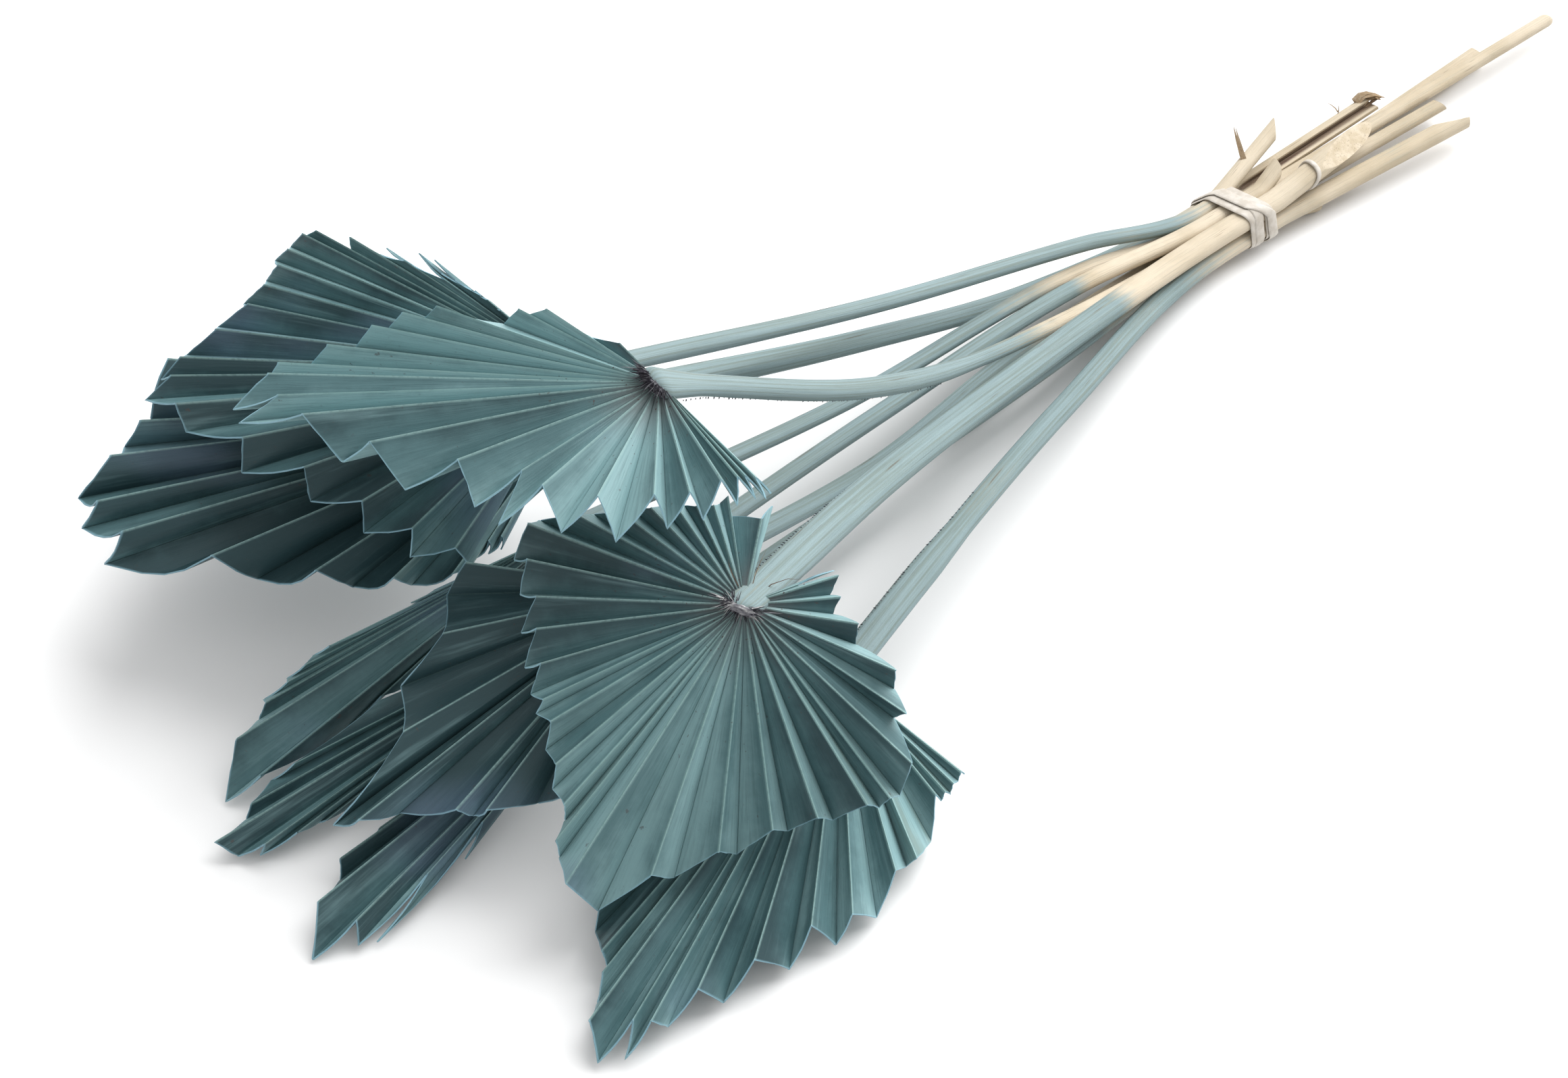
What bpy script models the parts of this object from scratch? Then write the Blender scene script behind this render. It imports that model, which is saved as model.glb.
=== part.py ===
"""A tied bunch of nine dried fan palm leaves, each trimmed to a spear, lying on a flat surface.

Every leaf is a pleated blade that fans out from the head of its own stalk. The nine stalks meet in a
rubber band. The bunch lies along X, blades at -X and cut stalk ends at +X. The values below are
millimetres and degrees, measured from the point of the surface under the band; the finished bunch
has its origin on the surface under the middle of its bounding box.
"""

import math
import random

import bmesh
import bpy
from mathutils import Vector

MM = 0.001
ORIGIN = (-109.4, 3.4, 0)

# Blades: a folded sheet cut by straight scissor strokes
BLADE_THICKNESS = 0.7
FOLD_START = 6.0
SHEET_START = 2.5
RADIAL_STEPS = (0.0, 0.32, 0.66, 1.0)
RIM_JITTER = 0.012
NORMAL_REACH = 0.35
CUT_LEANS_TOWARDS = (0.5, 0.87, 0)

# Stalks: an oval section, wider where it opens into the blade; a cut faces up and to the front
STALK_WIDTH = 6.4
STALK_HEIGHT = 5.0
STALK_SIDES = 8
STALK_POINTS = 13
HEAD_REACH = 1.6
HEAD_FLARE = 0.22
CUT_FACES = (0, -0.55, 0.83)
CLEARANCE = 0.35

# The rubber band: three turns, each with its shift along X and its lean, and its end round leaf_4
BAND_THICKNESS = 1.0
BAND_WIDTH = 2.6
BAND_STEPS = 28
BAND_TURNS = ((-3.4, 1.5), (-0.2, -1.3), (3.2, 0.7))
TIE_HALF_LENGTH = 12.0
LOOP_AT = 29.0
LOOP_WIDTH = 1.8
LOOP_THICKNESS = 0.8
LOOP_CLEARANCE = 0.55

# Each leaf: where its blade springs from, the corners of its cut rim anticlockwise as seen from
# above, its pleats and how steep their folds stand in the middle and at the sides, how far the cut
# leans and so leaves the folds standing proud as teeth, the stalk's girth, the places its stalk
# passes on the way to the band, its place (y, z) inside the band, its free end, and the slant of
# the cut there
LEAVES = {
    "leaf_1": {
        "hub": (-252, -18, 100),
        "rim": [(-249, 1, 97), (-253, 32, 92), (-279, 58, 88), (-306, 60, 88), (-338, 43, 92),
                (-316, 1, 92), (-289, -46, 93), (-270, -57, 96), (-257, -62, 98)],
        "pleats": 24,
        "folds": (50, 58),
        "lean": 0.05,
        "girth": 0.95,
        "ways": [(-184, -23, 60), (-88, -8, 19)],
        "slot": (-3.0, 8.2),
        "end": (104, -5, 7.5),
        "slant": 50,
    },
    "leaf_2": {
        "hub": (-251, 22, 74),
        "rim": [(-252, 53, 74), (-251, 98, 68), (-267, 135, 60), (-342, 95, 66),
                (-331, 58, 60), (-317, 26, 56), (-299, 5, 54)],
        "pleats": 20,
        "folds": (48, 56),
        "lean": 0.05,
        "girth": 0.9,
        "ways": [(-149, 15, 44), (-59, 13, 20)],
        "slot": (5.65, 12.1),
        "end": (38, 16, 18),
        "slant": 60,
    },
    "leaf_3": {
        "hub": (-241, 37, 46),
        "rim": [(-245, 106, 42), (-284, 127, 42), (-332, 120, 44), (-371, 95, 46),
                (-372, 76, 42), (-343, 48, 36), (-309, 22, 34), (-283, 16, 34)],
        "pleats": 22,
        "folds": (46, 54),
        "lean": 0.05,
        "girth": 1.1,
        "ways": [(-155, 16, 32), (-78, 15, 9.5)],
        "slot": (9.15, 7.4),
        "end": (86, 9, 11),
        "slant": 50,
    },
    "leaf_4": {
        "hub": (-270, -73, 78),
        "rim": [(-259, -40, 78), (-285, -9, 66), (-302, -24, 62), (-322, -61, 44), (-333, -85, 24),
                (-293, -99, 24), (-272, -110, 30), (-251, -115, 40), (-250, -96, 66), (-246, -79, 76)],
        "pleats": 27,
        "folds": (50, 56),
        "lean": -0.05,
        "girth": 1.3,
        "ways": [(-192, -41, 46), (-115, -21, 26), (-73, -13, 18.5)],
        "slot": (-7.1, 13.1),
        "end": (62, -5, 18),
        "slant": 68,
    },
    "leaf_5": {
        "hub": (-240, -75, 28),
        "rim": [(-276, -58, 24), (-316, -70, 13), (-335, -93, 7), (-351, -114, 6), (-317, -122, 6),
                (-272, -128, 6), (-245, -119, 7), (-229, -111, 14)],
        "pleats": 20,
        "folds": (54, 58),
        "lean": 0.05,
        "girth": 1.12,
        "ways": [(-201, -62, 26), (-117, -35, 18)],
        "slot": (-9.6, 7.3),
        "end": (102, -17, 9),
        "slant": 60,
    },
    "leaf_6": {
        "hub": (-273, -39, 56),
        "rim": [(-277, -10, 52), (-302, 4, 50), (-318, -9, 46), (-334, -15, 38), (-361, -25, 22),
                (-337, -47, 26), (-321, -62, 30), (-293, -73, 42)],
        "pleats": 13,
        "folds": (34, 48),
        "lean": 0.04,
        "girth": 0.95,
        "ways": [(-187, -28, 34), (-106, -4, 11)],
        "slot": (2.8, 3.73),
        "end": (138, 8.5, 3.6),
        "slant": 55,
    },
    "leaf_7": {
        "hub": (-274, 1, 44),
        "rim": [(-308, 12, 36), (-342, 21, 20), (-358, 23, 14), (-370, 21, 10), (-380, 11, 5),
                (-358, 9, 6), (-326, -4, 16)],
        "pleats": 9,
        "folds": (52, 58),
        "lean": 0.03,
        "girth": 0.85,
        "ways": [(-176, 1, 29), (-62, 8.5, 14)],
        "slot": (2.65, 8.25),
        "end": (172, 2, 8),
        "slant": 20,
    },
    "leaf_8": {
        "hub": (-281, -21, 36),
        "rim": [(-336, -1, 24), (-366, 5, 10), (-379, 2, 6), (-390, 1, 4), (-383, -9, 4),
                (-362, -13, 4), (-321, -27, 14)],
        "pleats": 7,
        "folds": (52, 58),
        "lean": 0.03,
        "girth": 0.95,
        "ways": [(-166, -5, 23), (-72, 2, 17)],
        "slot": (-0.1, 12.5),
        "end": (24, 2.5, 16),
        "slant": 40,
    },
    "leaf_9": {
        "hub": (-279, -28, 20),
        "rim": [(-340, -23, 5), (-366, -26, 5), (-378, -31, 5), (-389, -46, 4), (-374, -50, 4),
                (-342, -46, 4), (-313, -42, 4)],
        "pleats": 7,
        "folds": (52, 58),
        "lean": 0.03,
        "girth": 0.9,
        "ways": [(-97, -12, 8)],
        "slot": (-3.0, 3.6),
        "end": (31, -9.5, 2.6),
        "slant": 45,
    },
}


def clear_scene():
    for obj in list(bpy.data.objects):
        bpy.data.objects.remove(obj)


def new_collection(name):
    collection = bpy.data.collections.new(name)
    bpy.context.scene.collection.children.link(collection)
    return collection


def material(name, color, roughness):
    made = bpy.data.materials.new(name)
    made.use_nodes = True
    shader = made.node_tree.nodes["Principled BSDF"]
    shader.inputs["Base Color"].default_value = (*color, 1.0)
    shader.inputs["Roughness"].default_value = roughness
    shader.inputs["Metallic"].default_value = 0.0
    return made


class Smooth:
    """A smooth curve through points at uneven knots."""

    def __init__(self, knots, points):
        self.knots, self.points = knots, points
        spans = [b - a for a, b in zip(knots, knots[1:])]
        chords = [(b - a) / span for a, b, span in zip(points, points[1:], spans)]
        inner = [
            (chords[i] * spans[i + 1] + chords[i + 1] * spans[i]) / (spans[i] + spans[i + 1])
            for i in range(len(chords) - 1)
        ]
        self.slopes = [chords[0], *inner, chords[-1]]

    def span(self, knot):
        """Which stretch between two knots this one falls in."""
        last = len(self.knots) - 2
        return next((i for i in range(last) if knot < self.knots[i + 1]), last)

    def at(self, knot):
        i = self.span(knot)
        width = self.knots[i + 1] - self.knots[i]
        t = (knot - self.knots[i]) / width
        return (
            self.points[i] * (2 * t**3 - 3 * t**2 + 1)
            + self.slopes[i] * width * (t**3 - 2 * t**2 + t)
            + self.points[i + 1] * (3 * t**2 - 2 * t**3)
            + self.slopes[i + 1] * width * (t**3 - t**2)
        )


class Fan:
    """The cone of straight folds from a hub to the corners of a cut rim."""

    def __init__(self, hub, corners):
        self.hub = Vector(hub)
        arms = [Vector(corner) - self.hub for corner in corners]
        directions = [arm.normalized() for arm in arms]
        knots = [0.0]
        for a, b in zip(directions, directions[1:]):
            knots.append(knots[-1] + a.angle(b))
        self.radii = [arm.length for arm in arms]
        self.sweep = Smooth(knots, directions)
        self.spread = knots[-1]

    def direction(self, angle):
        return self.sweep.at(angle).normalized()

    def normal(self, angle):
        """Square to the unfolded sheet, taken over a wide stretch so that it turns slowly."""
        before = self.direction(max(0.0, angle - NORMAL_REACH))
        after = self.direction(min(self.spread, angle + NORMAL_REACH))
        return before.cross(after).normalized()

    def radius(self, angle):
        """The rim's distance along a straight cut between its two corners."""
        i = self.sweep.span(angle)
        a, b = self.radii[i], self.radii[i + 1]
        done = angle - self.sweep.knots[i]
        left = self.sweep.knots[i + 1] - angle
        return a * b * math.sin(done + left) / (a * math.sin(done) + b * math.sin(left))


def fold_angles(fan, pleats):
    """Where each fold lies: wide open in the middle of the fan, closed up towards its sides."""
    facets = 2 * pleats
    steps = [0.75 + 0.5 * math.sin(math.pi * (i + 0.5) / facets) for i in range(facets)]
    scale = fan.spread / sum(steps)
    angles = [0.0]
    for step in steps:
        angles.append(angles[-1] + step * scale)
    return angles


def pleated_blade(name, leaf, seed):
    """A blade: a grid whose columns are the folds, up and down by turns, drawn out into a thin solid."""
    fan = Fan(leaf["hub"], leaf["rim"])
    angles = fold_angles(fan, leaf["pleats"])
    facets = len(angles) - 1
    rows = len(RADIAL_STEPS) - 1
    steep_mid, steep_side = (math.tan(math.radians(a)) for a in leaf["folds"])
    random.seed(seed)
    jitter = [1 + random.uniform(-RIM_JITTER, RIM_JITTER) for _ in angles]

    mesh = bpy.data.meshes.new(name)
    shape = bmesh.new()
    bmesh.ops.create_grid(shape, x_segments=facets, y_segments=rows, size=1.0)
    bmesh.ops.triangulate(shape, faces=shape.faces)
    drawn = bmesh.ops.extrude_face_region(shape, geom=shape.faces[:], use_keep_orig=True)
    upper = [part for part in drawn["geom"] if isinstance(part, bmesh.types.BMVert)]
    bmesh.ops.translate(shape, verts=upper, vec=(0, 0, 1))
    for vertex in shape.verts:
        column = facets - round((vertex.co.x + 1) / 2 * facets)
        row = round((vertex.co.y + 1) / 2 * rows)
        side = 1 if vertex.co.z > 0.5 else -1
        angle = angles[column]
        opening = (angles[min(column + 1, facets)] - angles[max(column - 1, 0)]) / 2
        middle = math.sin(math.pi * column / facets)
        steep = steep_side + (steep_mid - steep_side) * middle
        ridge = 1 if column % 2 else -1
        proud = ridge * leaf["lean"] * fan.direction(angle).dot(Vector(CUT_LEANS_TOWARDS))
        reach = fan.radius(angle) * (jitter[column] + proud)
        radius = SHEET_START + (reach - SHEET_START) * RADIAL_STEPS[row]
        rise = steep * max(0.0, radius - FOLD_START)
        lift = 0.5 * opening * rise * ridge
        half = BLADE_THICKNESS / 2 * math.hypot(1, rise / radius)
        point = fan.hub + fan.direction(angle) * radius + fan.normal(angle) * (lift + side * half)
        point.z = max(point.z, BLADE_THICKNESS if side > 0 else 0.0)
        vertex.co = point * MM
    bmesh.ops.recalc_face_normals(shape, faces=shape.faces)
    if shape.calc_volume(signed=True) < 0:
        bmesh.ops.reverse_faces(shape, faces=shape.faces)
    shape.to_mesh(mesh)
    shape.free()
    return bpy.data.objects.new(name, mesh)


def stalk_line(leaf):
    """(point, girth) pairs from just past the hub, through the band, to the free end."""
    hub, end = Vector(leaf["hub"]), Vector(leaf["end"])
    entry = Vector((-TIE_HALF_LENGTH, *leaf["slot"]))
    stops = [hub, *(Vector(way) for way in leaf["ways"]), entry]
    knots = [0.0]
    for a, b in zip(stops, stops[1:]):
        knots.append(knots[-1] + (b - a).length)
    path = Smooth(knots, stops)
    path.slopes[-1] = Vector((1, 0, 0))
    girth = leaf["girth"]
    points = [(hub - path.slopes[0] * HEAD_REACH, girth * (1 + HEAD_FLARE / 2))]
    for i in range(STALK_POINTS):
        t = i / (STALK_POINTS - 1)
        flare = 1 + HEAD_FLARE * math.exp(-((t / 0.14) ** 2))
        points.append((path.at(t * knots[-1]), girth * flare))
    exit_point = entry + Vector((2 * TIE_HALF_LENGTH, 0, 0))
    points.append((exit_point, girth))
    points.append((exit_point.lerp(end, 0.5), girth))
    points.append((end, girth))
    return points


def section_curve(name, width, height, collection):
    """The stalk's oval section, a guide that is never seen."""
    data = bpy.data.curves.new(name, "CURVE")
    spline = data.splines.new("POLY")
    spline.points.add(STALK_SIDES - 1)
    for i, point in enumerate(spline.points):
        turn = 2 * math.pi * (i + 0.5) / STALK_SIDES
        x = math.cos(turn) * width / 2
        y = math.sin(turn) * height / 2
        point.co = (x * MM, y * MM, 0, 1)
    spline.use_cyclic_u = True
    guide = bpy.data.objects.new(name, data)
    guide.hide_render = True
    guide.display_type = "WIRE"
    collection.objects.link(guide)
    return guide


def swept_mesh(name, line, section):
    """A closed mesh: the section swept along the line, its caps welded on."""
    data = bpy.data.curves.new(name, "CURVE")
    data.dimensions = "3D"
    data.twist_mode = "Z_UP"
    data.bevel_mode = "OBJECT"
    data.bevel_object = section
    data.use_fill_caps = True
    spline = data.splines.new("POLY")
    spline.points.add(len(line) - 1)
    for point, (place, width) in zip(spline.points, line):
        point.co = (*(place * MM), 1)
        point.radius = width
    curve = bpy.data.objects.new(name, data)
    bpy.context.scene.collection.objects.link(curve)
    graph = bpy.context.evaluated_depsgraph_get()
    mesh = bpy.data.meshes.new_from_object(curve.evaluated_get(graph))
    bpy.data.objects.remove(curve)
    shape = bmesh.new()
    shape.from_mesh(mesh)
    bmesh.ops.remove_doubles(shape, verts=shape.verts, dist=0.001 * MM)
    bmesh.ops.recalc_face_normals(shape, faces=shape.faces)
    shape.to_mesh(mesh)
    shape.free()
    mesh.name = name
    return mesh


def trim_end(mesh, leaf):
    """Cuts the free end with one slanting stroke."""
    slant = math.radians(leaf["slant"])
    facing = Vector((math.cos(slant), 0, 0)) + Vector(CUT_FACES) * math.sin(slant)
    end = Vector(leaf["end"])
    along = STALK_WIDTH / 2 * math.tan(slant)
    shape = bmesh.new()
    shape.from_mesh(mesh)
    bmesh.ops.bisect_plane(
        shape,
        geom=[*shape.verts, *shape.edges, *shape.faces],
        plane_co=(end - Vector((along, 0, 0))) * MM,
        plane_no=facing,
        clear_outer=True,
    )
    bmesh.ops.holes_fill(shape, edges=[e for e in shape.edges if e.is_boundary])
    bmesh.ops.recalc_face_normals(shape, faces=shape.faces)
    shape.to_mesh(mesh)
    shape.free()


def build_leaf(name, leaf, seed, bunch, cutters, materials):
    """One leaf: its stalk, and its blade with a plain hole in which the stalk's head sits."""
    line = stalk_line(leaf)
    section = section_curve(f"{name}_section", STALK_WIDTH, STALK_HEIGHT, cutters)
    stalk = bpy.data.objects.new(f"{name}_stalk", swept_mesh(f"{name}_stalk", line, section))
    trim_end(stalk.data, leaf)
    stalk.data.materials.append(materials["stalk"])
    bunch.objects.link(stalk)

    wide = section_curve(
        f"{name}_hole_section", STALK_WIDTH + 2 * CLEARANCE, STALK_HEIGHT + 2 * CLEARANCE, cutters
    )
    (head, girth), (hub, _) = line[:2]
    reach = (head - hub) * (1 + CLEARANCE / HEAD_REACH)
    longer = [(hub + reach, girth), *line[1:-3]]
    hole = bpy.data.objects.new(f"{name}_hole", swept_mesh(f"{name}_hole", longer, wide))
    hole.hide_render = True
    hole.display_type = "WIRE"
    cutters.objects.link(hole)

    blade = pleated_blade(f"{name}_blade", leaf, seed)
    blade.data.materials.append(materials["blade"])
    bunch.objects.link(blade)
    cut = blade.modifiers.new("Stalk hole", "BOOLEAN")
    cut.operation = "DIFFERENCE"
    cut.object = hole
    cut.solver = "MANIFOLD"


def band_outline(leaves, clearance):
    """The taut loop round these leaves' oval stalk sections in the YZ plane, as (y, z) points."""
    points = []
    for i in range(BAND_STEPS):
        turn = 2 * math.pi * (i + 0.5) / BAND_STEPS
        out = Vector((math.cos(turn), math.sin(turn)))
        touches = []
        for leaf in leaves:
            wide, high = leaf["girth"] * STALK_WIDTH / 2, leaf["girth"] * STALK_HEIGHT / 2
            reach = math.hypot(out.x * wide, out.y * high)
            touches.append(Vector(leaf["slot"]) + Vector((out.x * wide**2, out.y * high**2)) / reach)
        points.append(max(touches, key=lambda p: p.dot(out)) + out * clearance)
    return points


def band_turn(name, outline, shift, lean, width, thickness):
    """One turn: an open tube laid on the outline, leaning along X as it goes round."""
    mesh = bpy.data.meshes.new(name)
    shape = bmesh.new()
    bmesh.ops.create_cone(
        shape, segments=BAND_STEPS, radius1=1.0, radius2=1.0, depth=2.0, cap_ends=False
    )
    for vertex in shape.verts:
        turn = math.atan2(vertex.co.y, vertex.co.x)
        y, z = outline[round(turn / (2 * math.pi) * BAND_STEPS) % BAND_STEPS]
        x = shift + lean * math.cos(turn) + vertex.co.z * width / 2
        vertex.co = Vector((x, y, z)) * MM
    shape.to_mesh(mesh)
    shape.free()
    made = bpy.data.objects.new(name, mesh)
    thicken = made.modifiers.new("Thickness", "SOLIDIFY")
    thicken.thickness = thickness * MM
    thicken.offset = 1.0
    thicken.use_even_offset = True
    return made


def build_band(bunch, cutters, band_material):
    """The rubber band: three turns round the bundle that run into each other, flat underneath."""
    outline = band_outline(LEAVES.values(), CLEARANCE)
    turns = [
        band_turn(f"band_turn_{i}", outline, shift, lean, BAND_WIDTH, BAND_THICKNESS)
        for i, (shift, lean) in enumerate(BAND_TURNS, 1)
    ]
    band = turns[0]
    band.name = "rubber_band"
    band.data.materials.append(band_material)
    bunch.objects.link(band)
    for turn in turns[1:]:
        turn.hide_render = True
        turn.display_type = "WIRE"
        cutters.objects.link(turn)
        join = band.modifiers.new(turn.name, "BOOLEAN")
        join.operation = "UNION"
        join.object = turn
        join.solver = "MANIFOLD"


def build_band_end(bunch, band_material):
    """The band's end, pulled out and hooked round the stalk of leaf_4 alone."""
    leaf = LEAVES["leaf_4"]
    share = (LOOP_AT - TIE_HALF_LENGTH) / (leaf["end"][0] - TIE_HALF_LENGTH)
    across, above = (a + (b - a) * share for a, b in zip(leaf["slot"], leaf["end"][1:]))
    outline = band_outline([{"girth": leaf["girth"], "slot": (across, above)}], LOOP_CLEARANCE)
    loop = band_turn("rubber_band_end", outline, LOOP_AT, 2.0, LOOP_WIDTH, LOOP_THICKNESS)
    loop.data.materials.append(band_material)
    bunch.objects.link(loop)


def main():
    clear_scene()
    bunch = new_collection("fan_palm_leaf_bunch")
    cutters = new_collection("cutters")
    materials = {
        "blade": material("dyed_blade", (0.10, 0.20, 0.22), 0.62),
        "stalk": material("dyed_stalk", (0.45, 0.52, 0.48), 0.65),
    }
    for seed, (name, leaf) in enumerate(LEAVES.items()):
        build_leaf(name, leaf, seed, bunch, cutters, materials)
    rubber = material("natural_rubber", (0.66, 0.60, 0.52), 0.55)
    build_band(bunch, cutters, rubber)
    build_band_end(bunch, rubber)
    for obj in (*bunch.objects, *cutters.objects):
        obj.location = -Vector(ORIGIN) * MM


main()
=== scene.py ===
"""A tied bunch of nine dried, dyed fan palm leaves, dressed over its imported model.

Each leaf is a pleated blade cut to a spear, on a long stalk; a rubber band ties the nine stalks. The
leaves' measures are millimetres and degrees from the point of the surface under the band, as they
are in the part's source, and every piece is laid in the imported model's own frame.
"""

from __future__ import annotations

import logging
import math
import random
from dataclasses import dataclass, field
from enum import Enum

import bpy
import numpy as np
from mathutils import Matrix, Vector, noise


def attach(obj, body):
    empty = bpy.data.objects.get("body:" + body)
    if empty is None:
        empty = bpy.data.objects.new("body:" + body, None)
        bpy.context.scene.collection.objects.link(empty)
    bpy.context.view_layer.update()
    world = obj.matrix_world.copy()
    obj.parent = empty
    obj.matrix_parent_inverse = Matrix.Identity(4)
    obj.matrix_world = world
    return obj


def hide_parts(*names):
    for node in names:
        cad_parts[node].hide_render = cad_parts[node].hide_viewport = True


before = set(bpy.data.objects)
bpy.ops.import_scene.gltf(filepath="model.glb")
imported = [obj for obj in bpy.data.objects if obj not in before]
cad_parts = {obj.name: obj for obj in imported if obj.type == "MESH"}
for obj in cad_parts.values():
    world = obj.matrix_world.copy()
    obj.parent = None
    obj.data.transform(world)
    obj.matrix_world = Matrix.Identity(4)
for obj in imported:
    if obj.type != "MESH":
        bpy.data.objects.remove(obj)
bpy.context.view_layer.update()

LOG = logging.getLogger("fan_palm_leaf")
MM = 0.001
ORIGIN = Vector((-109.4, 3.4, 0.0))
PHOTO_SIZE = (2322, 1596)
FIBRE_MAP = "fibre_map"

Piece = bpy.types.Object
Socket = bpy.types.NodeSocket
Finish = bpy.types.Material
Colour = tuple[float, float, float]
Pixel = tuple[float, float]
Spike = tuple[Vector, Vector, Vector, float, float]
Scales = tuple[float, float, float]

# Where a mark starts on a value, where it is full, and how strong it then is.
Band = tuple[float, float, float]
# A noise's scale, detail and roughness.
Cloud = tuple[float, float, float]
# A noise's scales across and along the fibres, its detail and its roughness.
Grain = tuple[float, float, float, float]


class Slot(Enum):
    """The material slots."""

    BLADE = "dyed_blade"
    STALK = "dyed_stalk"
    RUBBER = "natural_rubber"


@dataclass(frozen=True)
class Viewpoint:
    """The photograph's camera, in the leaves' own frame."""

    place: tuple[float, float, float] = (-480.5, -338.7, 477.9)
    azimuth: float = -40.0
    elevation: float = 48.0
    lens: float = 50.0
    sensor: float = 36.0

    def axes(self) -> tuple[Vector, Vector, Vector]:
        """The picture's directions.

        Returns:
            The ways to its right, to its top and into it.
        """
        turn, tilt = math.radians(self.azimuth), math.radians(self.elevation)
        ahead = Vector((-math.sin(turn), math.cos(turn), 0))
        right = Vector((math.cos(turn), math.sin(turn), 0))
        into = ahead * math.cos(tilt) - Vector((0, 0, math.sin(tilt)))
        return right, right.cross(into), into

    def pixel(self, point: Vector) -> Vector:
        """Where a point shows in the photograph.

        Args:
            point: A place in the leaves' frame, in millimetres.

        Returns:
            Its pixel, as a 2D vector.
        """
        right, top, into = self.axes()
        arm = point - Vector(self.place)
        scale = self.lens / self.sensor * PHOTO_SIZE[0] / arm.dot(into)
        return Vector((PHOTO_SIZE[0] / 2 + arm.dot(right) * scale, PHOTO_SIZE[1] / 2 - arm.dot(top) * scale))

    def at_depth_of(self, pixel: Pixel, point: Vector) -> Vector:
        """The place that shows at a pixel and lies as deep in the picture as a point does.

        Args:
            pixel: Where it shows.
            point: The point, in the leaves' frame.

        Returns:
            The place, in the leaves' frame.
        """
        right, top, into = self.axes()
        depth = (point - Vector(self.place)).dot(into)
        scale = self.lens / self.sensor * PHOTO_SIZE[0]
        across = (pixel[0] - PHOTO_SIZE[0] / 2) / scale
        up = (PHOTO_SIZE[1] / 2 - pixel[1]) / scale
        return Vector(self.place) + (into + right * across + top * up) * depth

    def build(self) -> Piece:
        """Adds the camera.

        Returns:
            The camera.
        """
        bpy.ops.object.camera_add(location=(Vector(self.place) - ORIGIN) * MM)
        camera = bpy.context.active_object
        camera.name = "photo_camera"
        camera.rotation_mode = "QUATERNION"
        camera.rotation_quaternion = self.axes()[2].to_track_quat("-Z", "Y")
        camera.data.lens = self.lens
        camera.data.sensor_width = self.sensor
        bpy.context.scene.camera = camera
        return camera


@dataclass(frozen=True)
class LeafShape:
    """One leaf's measures, in millimetres, and what the photograph shows of it.

    Attributes:
        name: The leaf's name.
        hub: Where the blade springs from the stalk.
        rim: The corners of the blade's cut edge, anticlockwise from above.
        folds: How steep the pleats are in the fan's middle and at its sides, in degrees.
        lean: How far ridges stand proud of the cut, as a share of their reach.
        girth: The stalk's size, of the usual stalk's 1.
        ways: Places that the stalk passes between its hub and the tie.
        slot: Its place across the tie.
        end: Where it ends.
        tips: A row for each pleat, in the rim's order: the pixel where its ridge ends, then the one
            where the valley after it ends. A row of one number stands for that many pleats that
            other leaves hide.
        curl: How far the strips between the folds bulge, as a share of their width.
        swell: The stalk's size along it, as pairs of a share of the way to the tie and a factor.
        fade: Where the stalk's dye starts to fade and where it is gone, as such shares.
        shade: How pale the blade is painted, about 0 for the darkest leaf and 1 for the palest: partly how
            much dye it took, partly painted shade on leaves that lie under others.
        palest: Where in the fan its facets are painted palest, as painted light, as a share of the spread.
        knot: How pale the torn fibres at the hub are.
        paleness: How much of the light the dyed stalk gives back, of the palest leaf's 1.
        seed: Starts this leaf's random draws.
        spring: How far past the tie the stalk stays straight.
        overrun: How far it is built past its end, for the cuts to take off.
        split: How deep its free end is split, as a share of the way to its middle.
        oblique: The slope of its one long oval cut, in degrees, or 0 for none.
        cuts: The strokes that cut its end: two pixels on each, and its turn from the camera.
    """

    name: str
    hub: tuple[float, float, float]
    rim: tuple[tuple[float, float, float], ...]
    folds: tuple[float, float]
    lean: float
    girth: float
    ways: tuple[tuple[float, float, float], ...]
    slot: tuple[float, float]
    end: tuple[float, float, float]
    tips: tuple[tuple[int, ...], ...] = ()
    curl: float = 0.04
    swell: tuple[tuple[float, float], ...] = ((0, 1.15), (0.2, 1.0), (1, 1.0))
    fade: tuple[float, float] = (0.62, 0.9)
    shade: float = 0.5
    palest: float = 0.9
    knot: float = 0.12
    paleness: float = 0.66
    seed: int = 0
    spring: float = 12.0
    overrun: float = 12.0
    split: float = 0.0
    oblique: float = 0.0
    cuts: tuple[tuple[float, float, float, float, float], ...] = ()


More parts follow.
